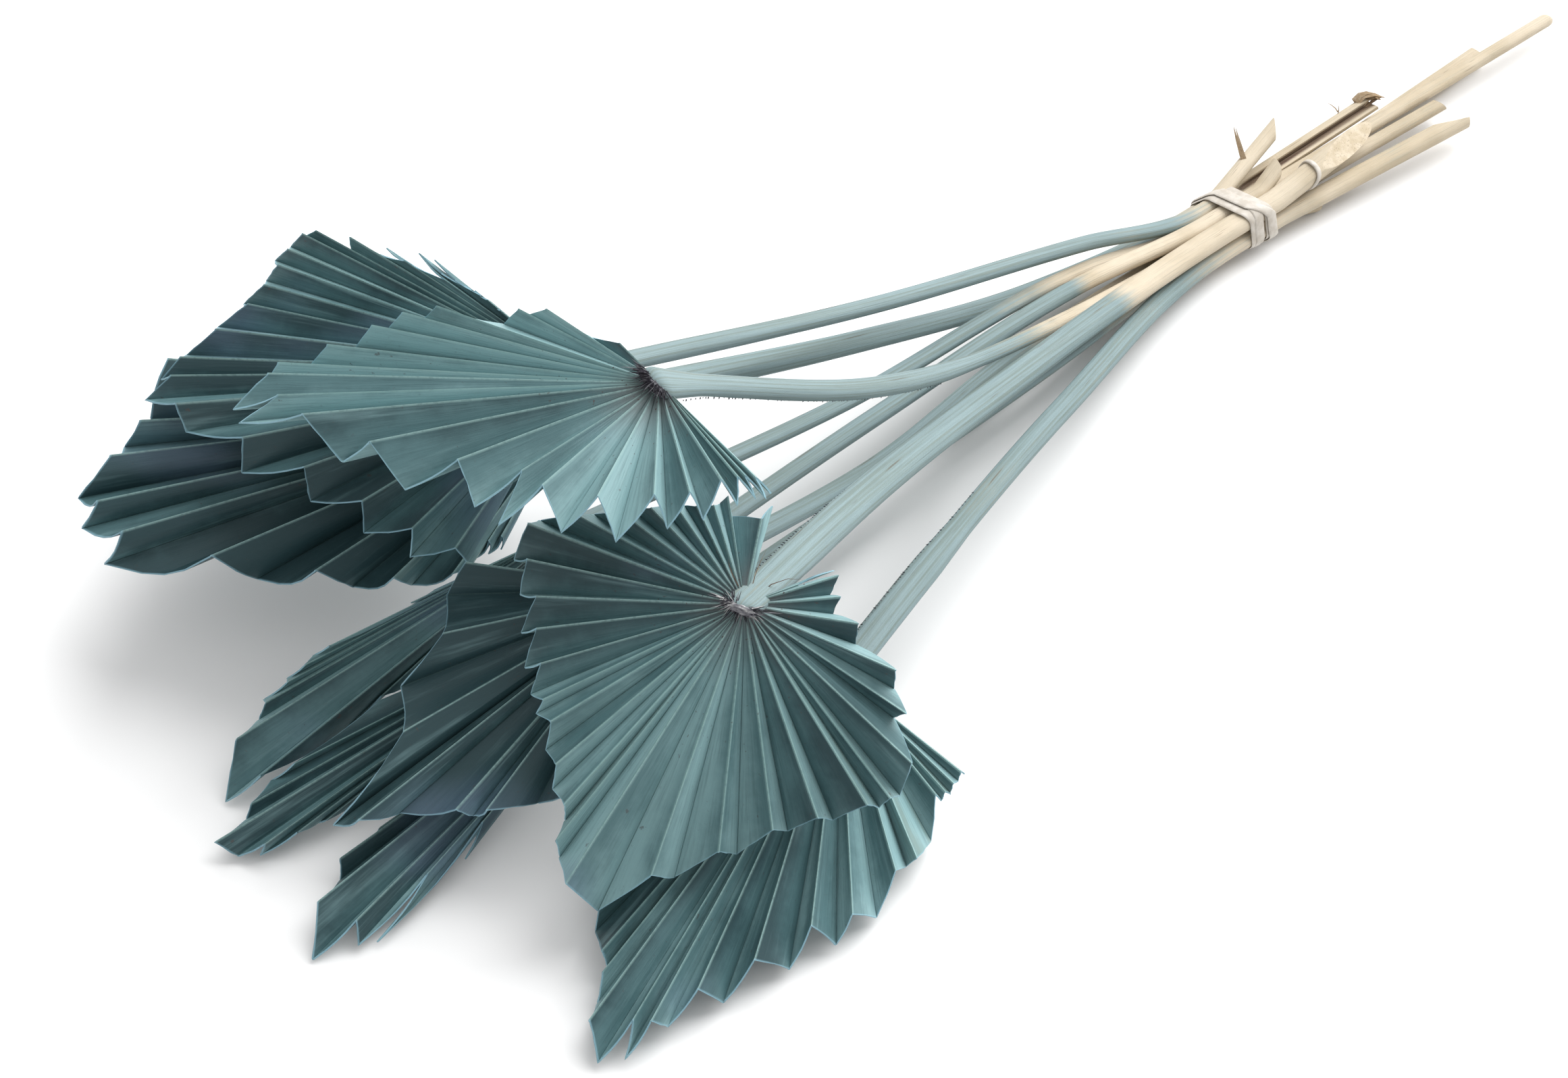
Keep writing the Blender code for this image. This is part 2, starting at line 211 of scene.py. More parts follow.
LEAVES = (
    LeafShape(
        name="leaf_1", hub=(-252, -18, 100),
        rim=((-249, 1, 97), (-253, 32, 92), (-279, 58, 88), (-306, 60, 88), (-338, 43, 92),
             (-316, 1, 92), (-289, -46, 93), (-270, -57, 96), (-257, -62, 98)),
        folds=(50, 58), lean=0.06, girth=0.95,
        ways=((-184, -23, 60), (-88, -8, 19)), slot=(-3.0, 8.2), end=(104, -5, 7.5),
        swell=((0, 2.0), (0.015, 1.75), (0.05, 1.3), (0.12, 1.15), (0.36, 1.12), (0.43, 1.05),
               (0.5, 0.85), (1, 0.9)),
        fade=(0.5, 0.75), shade=0.9, palest=0.7, seed=1, cuts=((2110, 142, 2134, 157, -20),),
        tips=((918, 509), (809, 458), (768, 458, 746, 480), (646, 454, 634, 469), (596, 463, 577, 484),
              (550, 482, 528, 512), (485, 511, 462, 536), (412, 537, 403, 552), (397, 554, 345, 606),
              (418, 569, 354, 626), (447, 614, 507, 684), (545, 645, 599, 725), (678, 681, 703, 750),
              (773, 697, 738, 777), (803, 719, 831, 788), (885, 735, 912, 801), (969, 733, 988, 783),
              (1022, 729, 1041, 769), (1068, 710, 1069, 758), (1092, 706, 1095, 751),
              (1103, 704, 1112, 751), (1125, 704, 1116, 747)),
    ),
    LeafShape(
        name="leaf_2", hub=(-251, 22, 74),
        rim=((-252, 53, 74), (-251, 98, 68), (-267, 135, 60), (-342, 95, 66),
             (-331, 58, 60), (-317, 26, 56), (-299, 5, 54)),
        folds=(48, 56), lean=0.05, girth=0.9,
        ways=((-149, 15, 44), (-59, 13, 20)), slot=(5.65, 12.1), end=(38, 16, 18),
        swell=((0, 1.2), (0.3, 1.0), (1, 1.0)), fade=(0.94, 1.04), shade=0.1, seed=2,
        spring=-6.0, cuts=((1887, 190, 1885, 232, -10),),
        tips=((744, 449), (722, 428), (710, 418), (688, 411), (658, 414), (620, 365, 580, 362),
              (537, 337, 521, 372), (474, 335, 454, 346), (448, 346, 430, 366), (426, 369, 407, 386),
              (411, 392, 394, 416), (391, 422, 360, 450), (366, 450, 322, 484), (320, 488, 275, 526),
              (266, 529, 239, 562), (252, 556, 214, 592), (259, 598, 276, 639), (359, 648, 357, 700),
              (449, 692, 459, 742), (536, 742, 538, 789), (610, 783, 607, 825), (674, 812, 692, 833)),
    ),
    LeafShape(
        name="leaf_3", hub=(-241, 37, 46),
        rim=((-245, 106, 42), (-284, 127, 42), (-332, 120, 44), (-371, 95, 46),
             (-372, 76, 42), (-343, 48, 36), (-309, 22, 34), (-283, 16, 34)),
        folds=(46, 54), lean=0.05, girth=1.1,
        ways=((-155, 16, 32), (-78, 15, 9.5)), slot=(9.15, 7.4), end=(86, 9, 11),
        curl=0.16, swell=((0, 1.5), (0.12, 1.3), (0.35, 1.1), (0.7, 1.0), (1, 1.0)),
        fade=(0.85, 1.05), shade=-0.22, paleness=0.74, seed=3, split=0.9,
        cuts=((2001, 142, 2033, 160, -20),),
        tips=((4,), (207, 623, 184, 660), (163, 675, 111, 739), (143, 742, 118, 775),
              (180, 787, 152, 828), (313, 823, 380, 857), (467, 845, 522, 869), (582, 856, 609, 866),
              (670, 850), (2,)),
    ),
    LeafShape(
        name="leaf_4", hub=(-270, -73, 78),
        rim=((-243, -51, 76), (-259, -40, 78), (-285, -9, 66), (-302, -24, 62), (-322, -61, 44),
             (-333, -85, 24), (-293, -99, 24), (-272, -110, 30), (-251, -115, 40), (-250, -96, 66),
             (-246, -79, 76)),
        folds=(50, 56), lean=-0.05, girth=1.3,
        ways=((-192, -41, 46), (-115, -21, 26), (-73, -13, 18.5)), slot=(-7.1, 13.1),
        end=(62, -5, 18),
        swell=((0, 1.1), (0.03, 1.2), (0.12, 1.25), (0.35, 1.15), (0.7, 1.05), (1, 1.0)),
        fade=(0.77, 0.83), shade=0.57, palest=0.54, knot=0.42, seed=4, overrun=16, oblique=12.0,
        tips=((1128, 769, 1084, 765), (1080, 735), (6,), (782, 775, 761, 829), (784, 822, 770, 880),
              (794, 883, 771, 937), (794, 930, 776, 989), (801, 982, 785, 1028), (804, 1036, 792, 1052),
              (816, 1068, 808, 1110), (823, 1132, 818, 1168), (836, 1191, 836, 1216),
              (822, 1243, 828, 1270), (838, 1308, 885, 1349), (964, 1296, 998, 1300),
              (1064, 1261, 1091, 1265), (1144, 1229, 1166, 1231), (1211, 1211, 1233, 1215),
              (1285, 1192, 1299, 1198), (1319, 1182, 1333, 1179), (1351, 1130, 1323, 1063),
              (1342, 1056, 1324, 1020), (1327, 992, 1267, 955), (1271, 923, 1233, 910),
              (1244, 884, 1229, 882), (1242, 852, 1179, 871), (1177, 853)),
    ),
    LeafShape(
        name="leaf_5", hub=(-240, -75, 28),
        rim=((-276, -58, 24), (-316, -70, 13), (-335, -93, 7), (-351, -114, 6), (-317, -122, 6),
             (-272, -128, 6), (-245, -119, 7), (-229, -111, 14)),
        folds=(54, 58), lean=0.05, girth=1.12,
        ways=((-201, -62, 26), (-117, -35, 18)), slot=(-9.6, 7.3), end=(102, -17, 9),
        swell=((0, 1.25), (0.2, 1.2), (0.28, 1.0), (1, 1.0)),
        fade=(0.84, 1.08), shade=0.56, palest=0.75, seed=5,
        cuts=((2173, 165, 2173, 190, -15), (2096, 191, 2172, 174, 0)),
        tips=((3,), (891, 1408, 884, 1420), (880, 1431, 884, 1487), (872, 1511, 885, 1574),
              (937, 1510, 918, 1565), (956, 1508, 989, 1520), (1033, 1465, 1071, 1485),
              (1117, 1421, 1169, 1435), (1201, 1371, 1238, 1399), (1262, 1354, 1298, 1358),
              (1326, 1290, 1342, 1283), (1346, 1274, 1379, 1246), (1385, 1177, 1394, 1186),
              (1400, 1173, 1408, 1176), (1412, 1160, 1419, 1157), (1423, 1143)),
    ),
    LeafShape(
        name="leaf_6", hub=(-273, -39, 56),
        rim=((-277, -10, 52), (-302, 4, 50), (-318, -9, 46), (-334, -15, 38), (-361, -25, 22),
             (-337, -47, 26), (-321, -62, 30), (-293, -73, 42)),
        folds=(28, 38), lean=0.04, girth=0.95,
        ways=((-187, -28, 34), (-106, -4, 11)), slot=(2.8, 3.73), end=(138, 8.5, 3.6),
        curl=0.14, fade=(0.6, 0.9), shade=-0.5, seed=6,
        cuts=((2184, 72, 2200, 88, -25),),
        tips=((690, 833, 662, 880), (656, 938, 593, 1016), (597, 1084, 493, 1222),
              (523, 1203, 587, 1201), (675, 1199, 687, 1197), (712, 1193, 795, 1190), (2,)),
    ),
    LeafShape(
        name="leaf_7", hub=(-274, 1, 44),
        rim=((-308, 12, 36), (-342, 21, 20), (-358, 23, 14), (-370, 21, 10), (-380, 11, 5),
             (-358, 9, 6), (-326, -4, 16)),
        folds=(52, 58), lean=0.03, girth=0.85,
        ways=((-176, 1, 29), (-62, 8.5, 14)), slot=(2.65, 8.25), end=(172, 2, 8),
        fade=(0.62, 0.8), shade=0.7, seed=7, overrun=0,
        tips=((604, 883), (482, 950, 461, 965), (451, 985, 424, 1005), (423, 1007, 390, 1036),
              (391, 1037, 382, 1067), (349, 1095, 333, 1188), (367, 1122, 505, 1083),
              (537, 1002, 602, 1016)),
    ),
    LeafShape(
        name="leaf_8", hub=(-281, -21, 36),
        rim=((-336, -1, 24), (-366, 5, 10), (-379, 2, 6), (-390, 1, 4), (-383, -9, 4),
             (-362, -13, 4), (-321, -27, 14)),
        folds=(52, 58), lean=0.03, girth=0.95,
        ways=((-166, -5, 23), (-72, 2, 17)), slot=(-0.1, 12.5), end=(24, 2.5, 16),
        fade=(0.755, 0.795), shade=0.35, seed=8, cuts=((1889, 230, 1884, 262, -45),),
        tips=((435, 1131, 402, 1155), (371, 1191, 364, 1214), (317, 1245, 352, 1268),
              (385, 1240, 383, 1264), (421, 1205, 468, 1216), (450, 1170, 520, 1170)),
    ),
    LeafShape(
        name="leaf_9", hub=(-279, -28, 20),
        rim=((-340, -23, 5), (-366, -26, 5), (-378, -31, 5), (-389, -46, 4), (-374, -50, 4),
             (-342, -46, 4), (-313, -42, 4)),
        folds=(52, 58), lean=0.03, girth=0.9,
        ways=((-97, -12, 8),), slot=(-3.0, 3.6), end=(31, -9.5, 2.6),
        fade=(0.75, 0.95), shade=0.3, seed=9, overrun=0,
        tips=((552, 1212, 514, 1260), (503, 1272, 504, 1303), (470, 1336, 462, 1422),
              (492, 1330, 530, 1400), (596, 1260, 551, 1388), (690, 1195, 688, 1273)),
    ),
)

# Each row of teeth: its leaf, where it starts and ends on the way to the tie, and its side.
SAW_TEETH = (("leaf_1", 0.02, 0.42, 1), ("leaf_4", 0.04, 0.25, -1), ("leaf_5", 0.06, 0.34, -1))

# Each fibre: the pixels of its root, middle and tip, half its root's width, and its tone.
SLIVERS = (
    ("leaf_4", "stray_fibres", (
        (((1120, 884), (1150, 850), (1190, 858)), 0.16, 0.1),
        (((1112, 874), (1120, 840), (1136, 812)), 0.12, 0.3),
        (((1094, 868), (1080, 846), (1078, 826)), 0.12, 0.2),
    )),
    ("leaf_2", "torn_splinter", (
        (((1845, 250), (1834, 222), (1826, 184)), 0.9, 0.5),
        (((1848, 252), (1838, 222), (1829, 186)), 0.8, 0.6),
    )),
    ("leaf_3", "curled_flake", (
        (((2008, 152), (2022, 134), (2052, 145)), 1.6, 0.5),
        (((2014, 156), (2028, 138), (2046, 148)), 1.7, 0.45),
        (((2006, 150), (2014, 136), (2036, 138)), 1.5, 0.6),
        (((2022, 160), (2034, 146), (2050, 143)), 0.8, 0.3),
        (((1981, 166), (1978, 158), (1963, 151)), 0.3, 0.55),
        (((1980, 172), (1984, 162), (1982, 154)), 0.25, 0.4),
    )),
)


class Smooth:
    """A smooth curve through points at uneven knots."""

    def __init__(self, knots: list[float], points: list[Vector]) -> None:
        """Finds the slope at each knot from the chords beside it.

        Args:
            knots: Where along the curve each point lies, in growing order.
            points: What the curve passes through.
        """
        self.knots, self.points = knots, points
        spans = [b - a for a, b in zip(knots, knots[1:])]
        chords = [(b - a) / span for a, b, span in zip(points, points[1:], spans)]
        inner = [
            (chords[i] * spans[i + 1] + chords[i + 1] * spans[i]) / (spans[i] + spans[i + 1])
            for i in range(len(chords) - 1)
        ]
        self.slopes = [chords[0], *inner, chords[-1]]

    def span(self, knot: float) -> int:
        """Which stretch between two knots this one falls in."""
        last = len(self.knots) - 2
        return next((i for i in range(last) if knot < self.knots[i + 1]), last)

    def at(self, knot: float) -> Vector:
        """The curve's place at a knot value.

        Args:
            knot: How far along the curve.

        Returns:
            The place.
        """
        i = self.span(knot)
        width = self.knots[i + 1] - self.knots[i]
        t = (knot - self.knots[i]) / width
        return (
            self.points[i] * (2 * t**3 - 3 * t**2 + 1)
            + self.slopes[i] * width * (t**3 - 2 * t**2 + t)
            + self.points[i + 1] * (3 * t**2 - 2 * t**3)
            + self.slopes[i + 1] * width * (t**3 - t**2)
        )


class Fan:
    """The cone of straight folds from a hub to the corners of a cut rim."""

    normal_reach = 0.35

    def __init__(self, leaf: LeafShape) -> None:
        """Lays the folds' directions out by the angle between the rim's corners.

        Args:
            leaf: The leaf that it belongs to.
        """
        self.hub = Vector(leaf.hub)
        arms = [Vector(corner) - self.hub for corner in leaf.rim]
        directions = [arm.normalized() for arm in arms]
        knots = [0.0]
        for a, b in zip(directions, directions[1:]):
            knots.append(knots[-1] + a.angle(b))
        self.radii = [arm.length for arm in arms]
        self.sweep = Smooth(knots, directions)
        self.spread = knots[-1]

    def direction(self, angle: float) -> Vector:
        """The way a fold at this angle runs."""
        return self.sweep.at(angle).normalized()

    def normal(self, angle: float) -> Vector:
        """Square to the unfolded sheet, taken over a wide stretch so that it turns slowly.

        Args:
            angle: The fold's angle from the first corner.

        Returns:
            The sheet's normal there.
        """
        before = self.direction(max(0.0, angle - self.normal_reach))
        after = self.direction(min(self.spread, angle + self.normal_reach))
        return before.cross(after).normalized()

    def radius(self, angle: float) -> float:
        """The rim's distance along a straight cut between its two corners.

        Args:
            angle: The fold's angle from the first corner.

        Returns:
            The distance from the hub, in millimetres.
        """
        angle = min(max(angle, 0.0), self.spread)
        i = self.sweep.span(angle)
        a, b = self.radii[i], self.radii[i + 1]
        done = angle - self.sweep.knots[i]
        left = self.sweep.knots[i + 1] - angle
        return a * b * math.sin(done + left) / (a * math.sin(done) + b * math.sin(left))


class Workbench:
    """Blender's modelling operators, each run on one piece alone."""

    weld = 0.002
    taper = ((0, 1.0), (0.35, 0.85), (0.7, 0.55))

    @staticmethod
    def pick(piece: Piece) -> None:
        """Selects one piece and nothing else.

        Args:
            piece: The piece that the next operators act on.
        """
        bpy.ops.object.select_all(action="DESELECT")
        piece.select_set(True)
        bpy.context.view_layer.objects.active = piece

    @staticmethod
    def grid(name: str, points: np.ndarray, fibres: np.ndarray) -> Piece:
        """Adds a grid and lays it on a table of places.

        Args:
            name: The piece's name.
            points: Places in the leaves' frame, in millimetres, as rows by columns by 3.
            fibres: Where each of them lies in the fibre map, as rows by columns by 2.

        Returns:
            The new piece, its origin at the model's.
        """
        rows, columns = points.shape[:2]
        bpy.ops.object.select_all(action="DESELECT")
        bpy.ops.mesh.primitive_grid_add(x_subdivisions=columns - 1, y_subdivisions=rows - 1, size=2.0)
        piece = bpy.context.active_object
        piece.name = piece.data.name = name
        flat = np.empty(len(piece.data.vertices) * 3, np.float32)
        piece.data.vertices.foreach_get("co", flat)
        flat = flat.reshape(-1, 3)
        column = np.rint((flat[:, 0] + 1) / 2 * (columns - 1)).astype(int)
        row = np.rint((flat[:, 1] + 1) / 2 * (rows - 1)).astype(int)
        laid = (points[row, column] - np.array(ORIGIN)) * MM
        piece.data.vertices.foreach_set("co", laid.astype(np.float32).ravel())
        layer = piece.data.uv_layers[0]
        layer.name = FIBRE_MAP
        corner = np.empty(len(piece.data.loops), np.int32)
        piece.data.loops.foreach_get("vertex_index", corner)
        layer.data.foreach_set("uv", fibres[row, column][corner].astype(np.float32).ravel())
        piece.data.update()
        return piece

    @staticmethod
    def paint(piece: Piece, name: str, values: np.ndarray) -> None:
        """Keeps a value at each of a piece's points, in their order, for its material to read."""
        attribute = piece.data.attributes.new(name, "FLOAT", "POINT")
        attribute.data.foreach_set("value", values.astype(np.float32).ravel())

    @staticmethod
    def thicken(piece: Piece, thickness: float) -> None:
        """Gives a sheet its thickness, half to each side.

        Args:
            piece: The sheet.
            thickness: Its thickness in millimetres.
        """
        Workbench.pick(piece)
        wall = piece.modifiers.new("Thickness", "SOLIDIFY")
        wall.thickness = thickness * MM
        wall.offset = 0.0
        bpy.ops.object.modifier_apply(modifier=wall.name)

    @staticmethod
    def spikes(name: str, spikes: list[Spike]) -> Piece:
        """Makes many thin, curved, three-sided fibres as one piece.

        Args:
            name: The piece's name.
            spikes: Root, middle and tip of each in the leaves' frame, its root's half width in
                millimetres, and the tone that its material reads.

        Returns:
            The piece.
        """
        points, faces, tones = [], [], []
        for root, middle, tip, width, tone in spikes:
            start = len(points)
            for share, size in Workbench.taper:
                place = root * (1 - share) ** 2 + middle * (2 * share * (1 - share)) + tip * share**2
                run = (middle - root) * (1 - share) + (tip - middle) * share
                across = run.orthogonal().normalized() * (width * size)
                above = run.normalized().cross(across)
                for k in range(3):
                    turn = 2 * math.pi * k / 3
                    points.append((place + across * math.cos(turn) + above * math.sin(turn) - ORIGIN) * MM)
            points.append((tip - ORIGIN) * MM)
            faces.append((start + 2, start + 1, start))
            for ring in (0, 3):
                for k in range(3):
                    a, b = start + ring + k, start + ring + (k + 1) % 3
                    faces.append((a, b, b + 3, a + 3))
            faces += [(start + 6 + k, start + 6 + (k + 1) % 3, start + 9) for k in range(3)]
            tones += [tone] * (len(points) - start)
        mesh = bpy.data.meshes.new(name)
        mesh.from_pydata(points, [], faces)
        piece = bpy.data.objects.new(name, mesh)
        Workbench.paint(piece, "tone", np.array(tones))
        bpy.context.collection.objects.link(piece)
        return piece

    @staticmethod
    def close_tube(piece: Piece) -> None:
        """Welds a rolled grid's seam and closes both of its ends.

        Args:
            piece: The rolled grid.
        """
        Workbench.pick(piece)
        bpy.ops.object.mode_set(mode="EDIT")
        bpy.ops.mesh.select_all(action="SELECT")
        bpy.ops.mesh.remove_doubles(threshold=Workbench.weld * MM)
        bpy.ops.mesh.select_all(action="DESELECT")
        bpy.ops.mesh.select_non_manifold()
        bpy.ops.mesh.fill_holes(sides=0)
        bpy.ops.mesh.select_all(action="SELECT")
        bpy.ops.mesh.normals_make_consistent(inside=False)
        bpy.ops.object.mode_set(mode="OBJECT")

    @staticmethod
    def smooth(piece: Piece, angle: float) -> None:
        """Shades a piece smooth, but for edges sharper than an angle in degrees."""
        Workbench.pick(piece)
        bpy.ops.object.shade_smooth_by_angle(angle=math.radians(angle))

    @staticmethod
    def join(name: str, pieces: list[Piece]) -> Piece:
        """Makes one piece of several.

        Args:
            name: The joined piece's name.
            pieces: What it is made of; the first one stays.

        Returns:
            The joined piece.
        """
        bpy.ops.object.select_all(action="DESELECT")
        for piece in pieces:
            piece.select_set(True)
        bpy.context.view_layer.objects.active = pieces[0]
        bpy.ops.object.join()
        pieces[0].name = pieces[0].data.name = name
        return pieces[0]

    @staticmethod
    def finish(piece: Piece, slot: Slot, materials: list[Finish], nodes: tuple[str, ...] = ()) -> Piece:
        """Dresses a piece and sets it on the model.

        Args:
            piece: The finished mesh.
            slot: The slot that its finish belongs to; not used.
            materials: What it is made of, in the order of its faces' numbers.
            nodes: The model's nodes that it stands for.

        Returns:
            The same piece.
        """
        for material in materials:
            piece.data.materials.append(material)
        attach(piece, "root")
        if nodes:
            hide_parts(*nodes)
        LOG.info("%s: %d faces", piece.name, len(piece.data.polygons))
        return piece


class Tube:
    """A closed tube of any section, swept along a line of places."""

    split_turn = 0.94
    split_width = 0.5
    channel_width = 0.55
    least_across = 0.05

    def __init__(self, centres: list[Vector], widths: list[float], heights: list[float], sides: int) -> None:
        """Takes the tube's line and its size at each place, in millimetres."""
        self.centres, self.widths, self.heights, self.sides = centres, widths, heights, sides
        self.split = [0.0] * len(centres)

    def opened(self, ring: int, turn: float) -> float:
        """How deep a split runs here, as a share of the way to the middle."""
        return self.split[ring] * math.exp(-(((turn - self.split_turn) / self.split_width) ** 4))

    def rings(self, channel: float = 0.0) -> np.ndarray:
        """The tube's surface, ring by ring.

        Args:
            channel: How far the top is pressed in, as a share of the height.

        Returns:
            Places as rings by sides and one more by 3.
        """
        made = []
        last = len(self.centres) - 1
        for i, centre in enumerate(self.centres):
            run = (self.centres[min(i + 1, last)] - self.centres[max(i - 1, 0)]).normalized()
            across = run.cross(Vector((0, 0, 1)))
            across = across.normalized() if across.length > self.least_across else Vector((0, 1, 0))
            above = across.cross(run)
            ring = []
            for k in range(self.sides + 1):
                turn = 2 * math.pi * (k % self.sides) / self.sides
                top = math.exp(-(((turn - math.pi / 2) / self.channel_width) ** 2))
                arm = across * (math.cos(turn) * self.widths[i] / 2)
                arm += above * (math.sin(turn) * self.heights[i] / 2 * (1 - channel * top))
                ring.append(centre + arm * (1 - self.opened(i, turn)))
            made.append(ring)
        return np.array(made, float)

    def build(self, name: str, channel: float = 0.0) -> Piece:
        """Models the tube, its fibre map in millimetres round and along it.

        Args:
            name: The piece's name.
            channel: How far the top is pressed in, as a share of the height.

        Returns:
            The tube, its seam and ends still open.
        """
        points = self.rings(channel)
        steps = [(b - a).length for a, b in zip(self.centres, self.centres[1:])]
        fibres = np.empty((*points.shape[:2], 2))
        fibres[..., 0] = np.linspace(0, math.pi * max(self.widths), self.sides + 1)[None, :]
        fibres[..., 1] = np.concatenate([[0], np.cumsum(steps)])[:, None]
        return Workbench.grid(name, points, fibres)


class NodeSheet:
    """A material's nodes, added and joined in a line or two each."""

    def __init__(self, name: str) -> None:
        """Starts a material that has its one Principled shader.

        Args:
            name: The material's name.
        """
        self.material = bpy.data.materials.new(name)
        self.material.use_nodes = True
        self.tree = self.material.node_tree
        self.shader = self.tree.nodes["Principled BSDF"]

    def add(self, kind: str, **settings: object) -> bpy.types.Node:
        """Adds a shader node.

        Args:
            kind: Its type's name, without ShaderNode.
            **settings: Its properties.

        Returns:
            The node.
        """
        node = self.tree.nodes.new(f"ShaderNode{kind}")
        for key, value in settings.items():
            setattr(node, key, value)
        return node

    def feed(self, socket: Socket, value: object) -> None:
        """Joins a socket to another, or sets it to a number or colour.

        Args:
            socket: The node's input.
            value: An output socket, a number or a colour.
        """
        if isinstance(value, bpy.types.NodeSocket):
            self.tree.links.new(value, socket)
        elif isinstance(value, tuple) and socket.type == "RGBA":
            socket.default_value = (*value, 1.0)
        else:
            socket.default_value = value

    def value_at(self, name: str) -> Socket:
        """A value kept at the mesh's points."""
        return self.add("Attribute", attribute_name=name).outputs["Fac"]

    def noise(self, vector: Socket, scales: Scales, detail: float, rough: float) -> Socket:
        """A soft noise from 0 to 1.

        Args:
            vector: What it is laid out on.
            scales: How often it repeats on each axis.
            detail: How many finer layers it has.
            rough: How strong these are.

        Returns:
            Its value.
        """
        mapping = self.add("Mapping")
        mapping.inputs["Scale"].default_value = scales
        self.tree.links.new(vector, mapping.inputs["Vector"])
        node = self.add("TexNoise")
        node.inputs["Scale"].default_value = 1.0
        node.inputs["Detail"].default_value = detail
        node.inputs["Roughness"].default_value = rough
        self.tree.links.new(mapping.outputs["Vector"], node.inputs["Vector"])
        return node.outputs["Fac"]

    def streaks(self, grain: Grain) -> Socket:
        """A noise drawn out along the fibres.

        Args:
            grain: Its scales across and along the fibres, its detail and its roughness.

        Returns:
            Its value.
        """
        across, along, detail, rough = grain
        fibres = self.add("UVMap", uv_map=FIBRE_MAP).outputs["UV"]
        return self.noise(fibres, (across, along, 1.0), detail, rough)

    def clouds(self, cloud: Cloud, shift: float = 0.0) -> Socket:
        """A noise through the object's space, for blotches that pass over folds.

        Args:
            cloud: Its scale, its detail and its roughness.
            shift: Added to the scale, so that no two leaves match.

        Returns:
            Its value.
        """
        scale, detail, rough = cloud
        space = self.add("TexCoord").outputs["Object"]
        return self.noise(space, (scale + shift, scale + shift, scale + shift), detail, rough)

    def between(self, value: object, band: Band) -> Socket:
        """How far a value has come through a band.

        Args:
            value: The value.
            band: Where the result leaves 0, where it reaches its top, and that top.

        Returns:
            The result, with a smooth slope between.
        """
        low, high, top = band
        node = self.add("MapRange", interpolation_type="SMOOTHSTEP")
        given = {"Value": value, "From Min": low, "From Max": high, "To Min": 0.0, "To Max": top}
        for name, setting in given.items():
            self.feed(node.inputs[name], setting)
        return node.outputs["Result"]

    def arithmetic(self, operation: str, a: object, b: object) -> Socket:
        """One step of arithmetic.

        Args:
            operation: The Math node's operation.
            a: Its first value, a socket or a number.
            b: Its second.

        Returns:
            The result.
        """
        node = self.add("Math", operation=operation)
        self.feed(node.inputs[0], a)
        self.feed(node.inputs[1], b)
        return node.outputs["Value"]

    def plus(self, a: object, b: object) -> Socket:
        """Two values added."""
        return self.arithmetic("ADD", a, b)

    def minus(self, a: object, b: object) -> Socket:
        """The second value taken from the first."""
        return self.arithmetic("SUBTRACT", a, b)

    def times(self, a: object, b: object) -> Socket:
        """Two values multiplied."""
        return self.arithmetic("MULTIPLY", a, b)

    def blend(self, share: object, a: object, b: object) -> Socket:
        """Colour b laid on colour a.

        Args:
            share: How much of b shows.
            a: The colour below.
            b: The colour on top.

        Returns:
            The mixed colour.
        """
        node = self.add("Mix", data_type="RGBA")
        for place, given in zip((0, 6, 7), (share, a, b)):
            self.feed(node.inputs[place], given)
        return node.outputs[2]

    def ramp(self, value: Socket, places: tuple[float, ...], colours: tuple[Colour, ...]) -> Socket:
        """Colours along a value.

        Args:
            value: The value.
            places: Where on it each colour is pure.
            colours: The colours.

        Returns:
            The colour at the value.
        """
        node = self.add("ValToRGB")
        node.color_ramp.interpolation = "EASE"
        spots = node.color_ramp.elements
        while len(spots) < len(places):
            spots.new(0.5)
        for spot, place, colour in zip(spots, places, colours):
            spot.position, spot.color = place, (*colour, 1.0)
        self.tree.links.new(value, node.inputs["Fac"])
        return node.outputs["Color"]

    def bump(self, height: Socket, strength: float, depth: float) -> None:
        """Raises the surface.

        Args:
            height: How high it stands, from 0 to 1.
            strength: How much of that counts.
            depth: The height of 1, in millimetres.
        """
        node = self.add("Bump")
        node.inputs["Strength"].default_value = strength
        node.inputs["Distance"].default_value = depth * MM
        self.tree.links.new(height, node.inputs["Height"])
        self.tree.links.new(node.outputs["Normal"], self.shader.inputs["Normal"])

    def coat(self, colour: object, roughness: object, specular: float = 0.5) -> Finish:
        """Gives the shader its colour and gloss.

        Args:
            colour: A colour or a socket.
            roughness: A number or a socket.
            specular: The specular level.

        Returns:
            The material.
        """
        self.feed(self.shader.inputs["Base Color"], colour)
        self.feed(self.shader.inputs["Roughness"], roughness)
        self.shader.inputs["Specular IOR Level"].default_value = specular
        return self.material


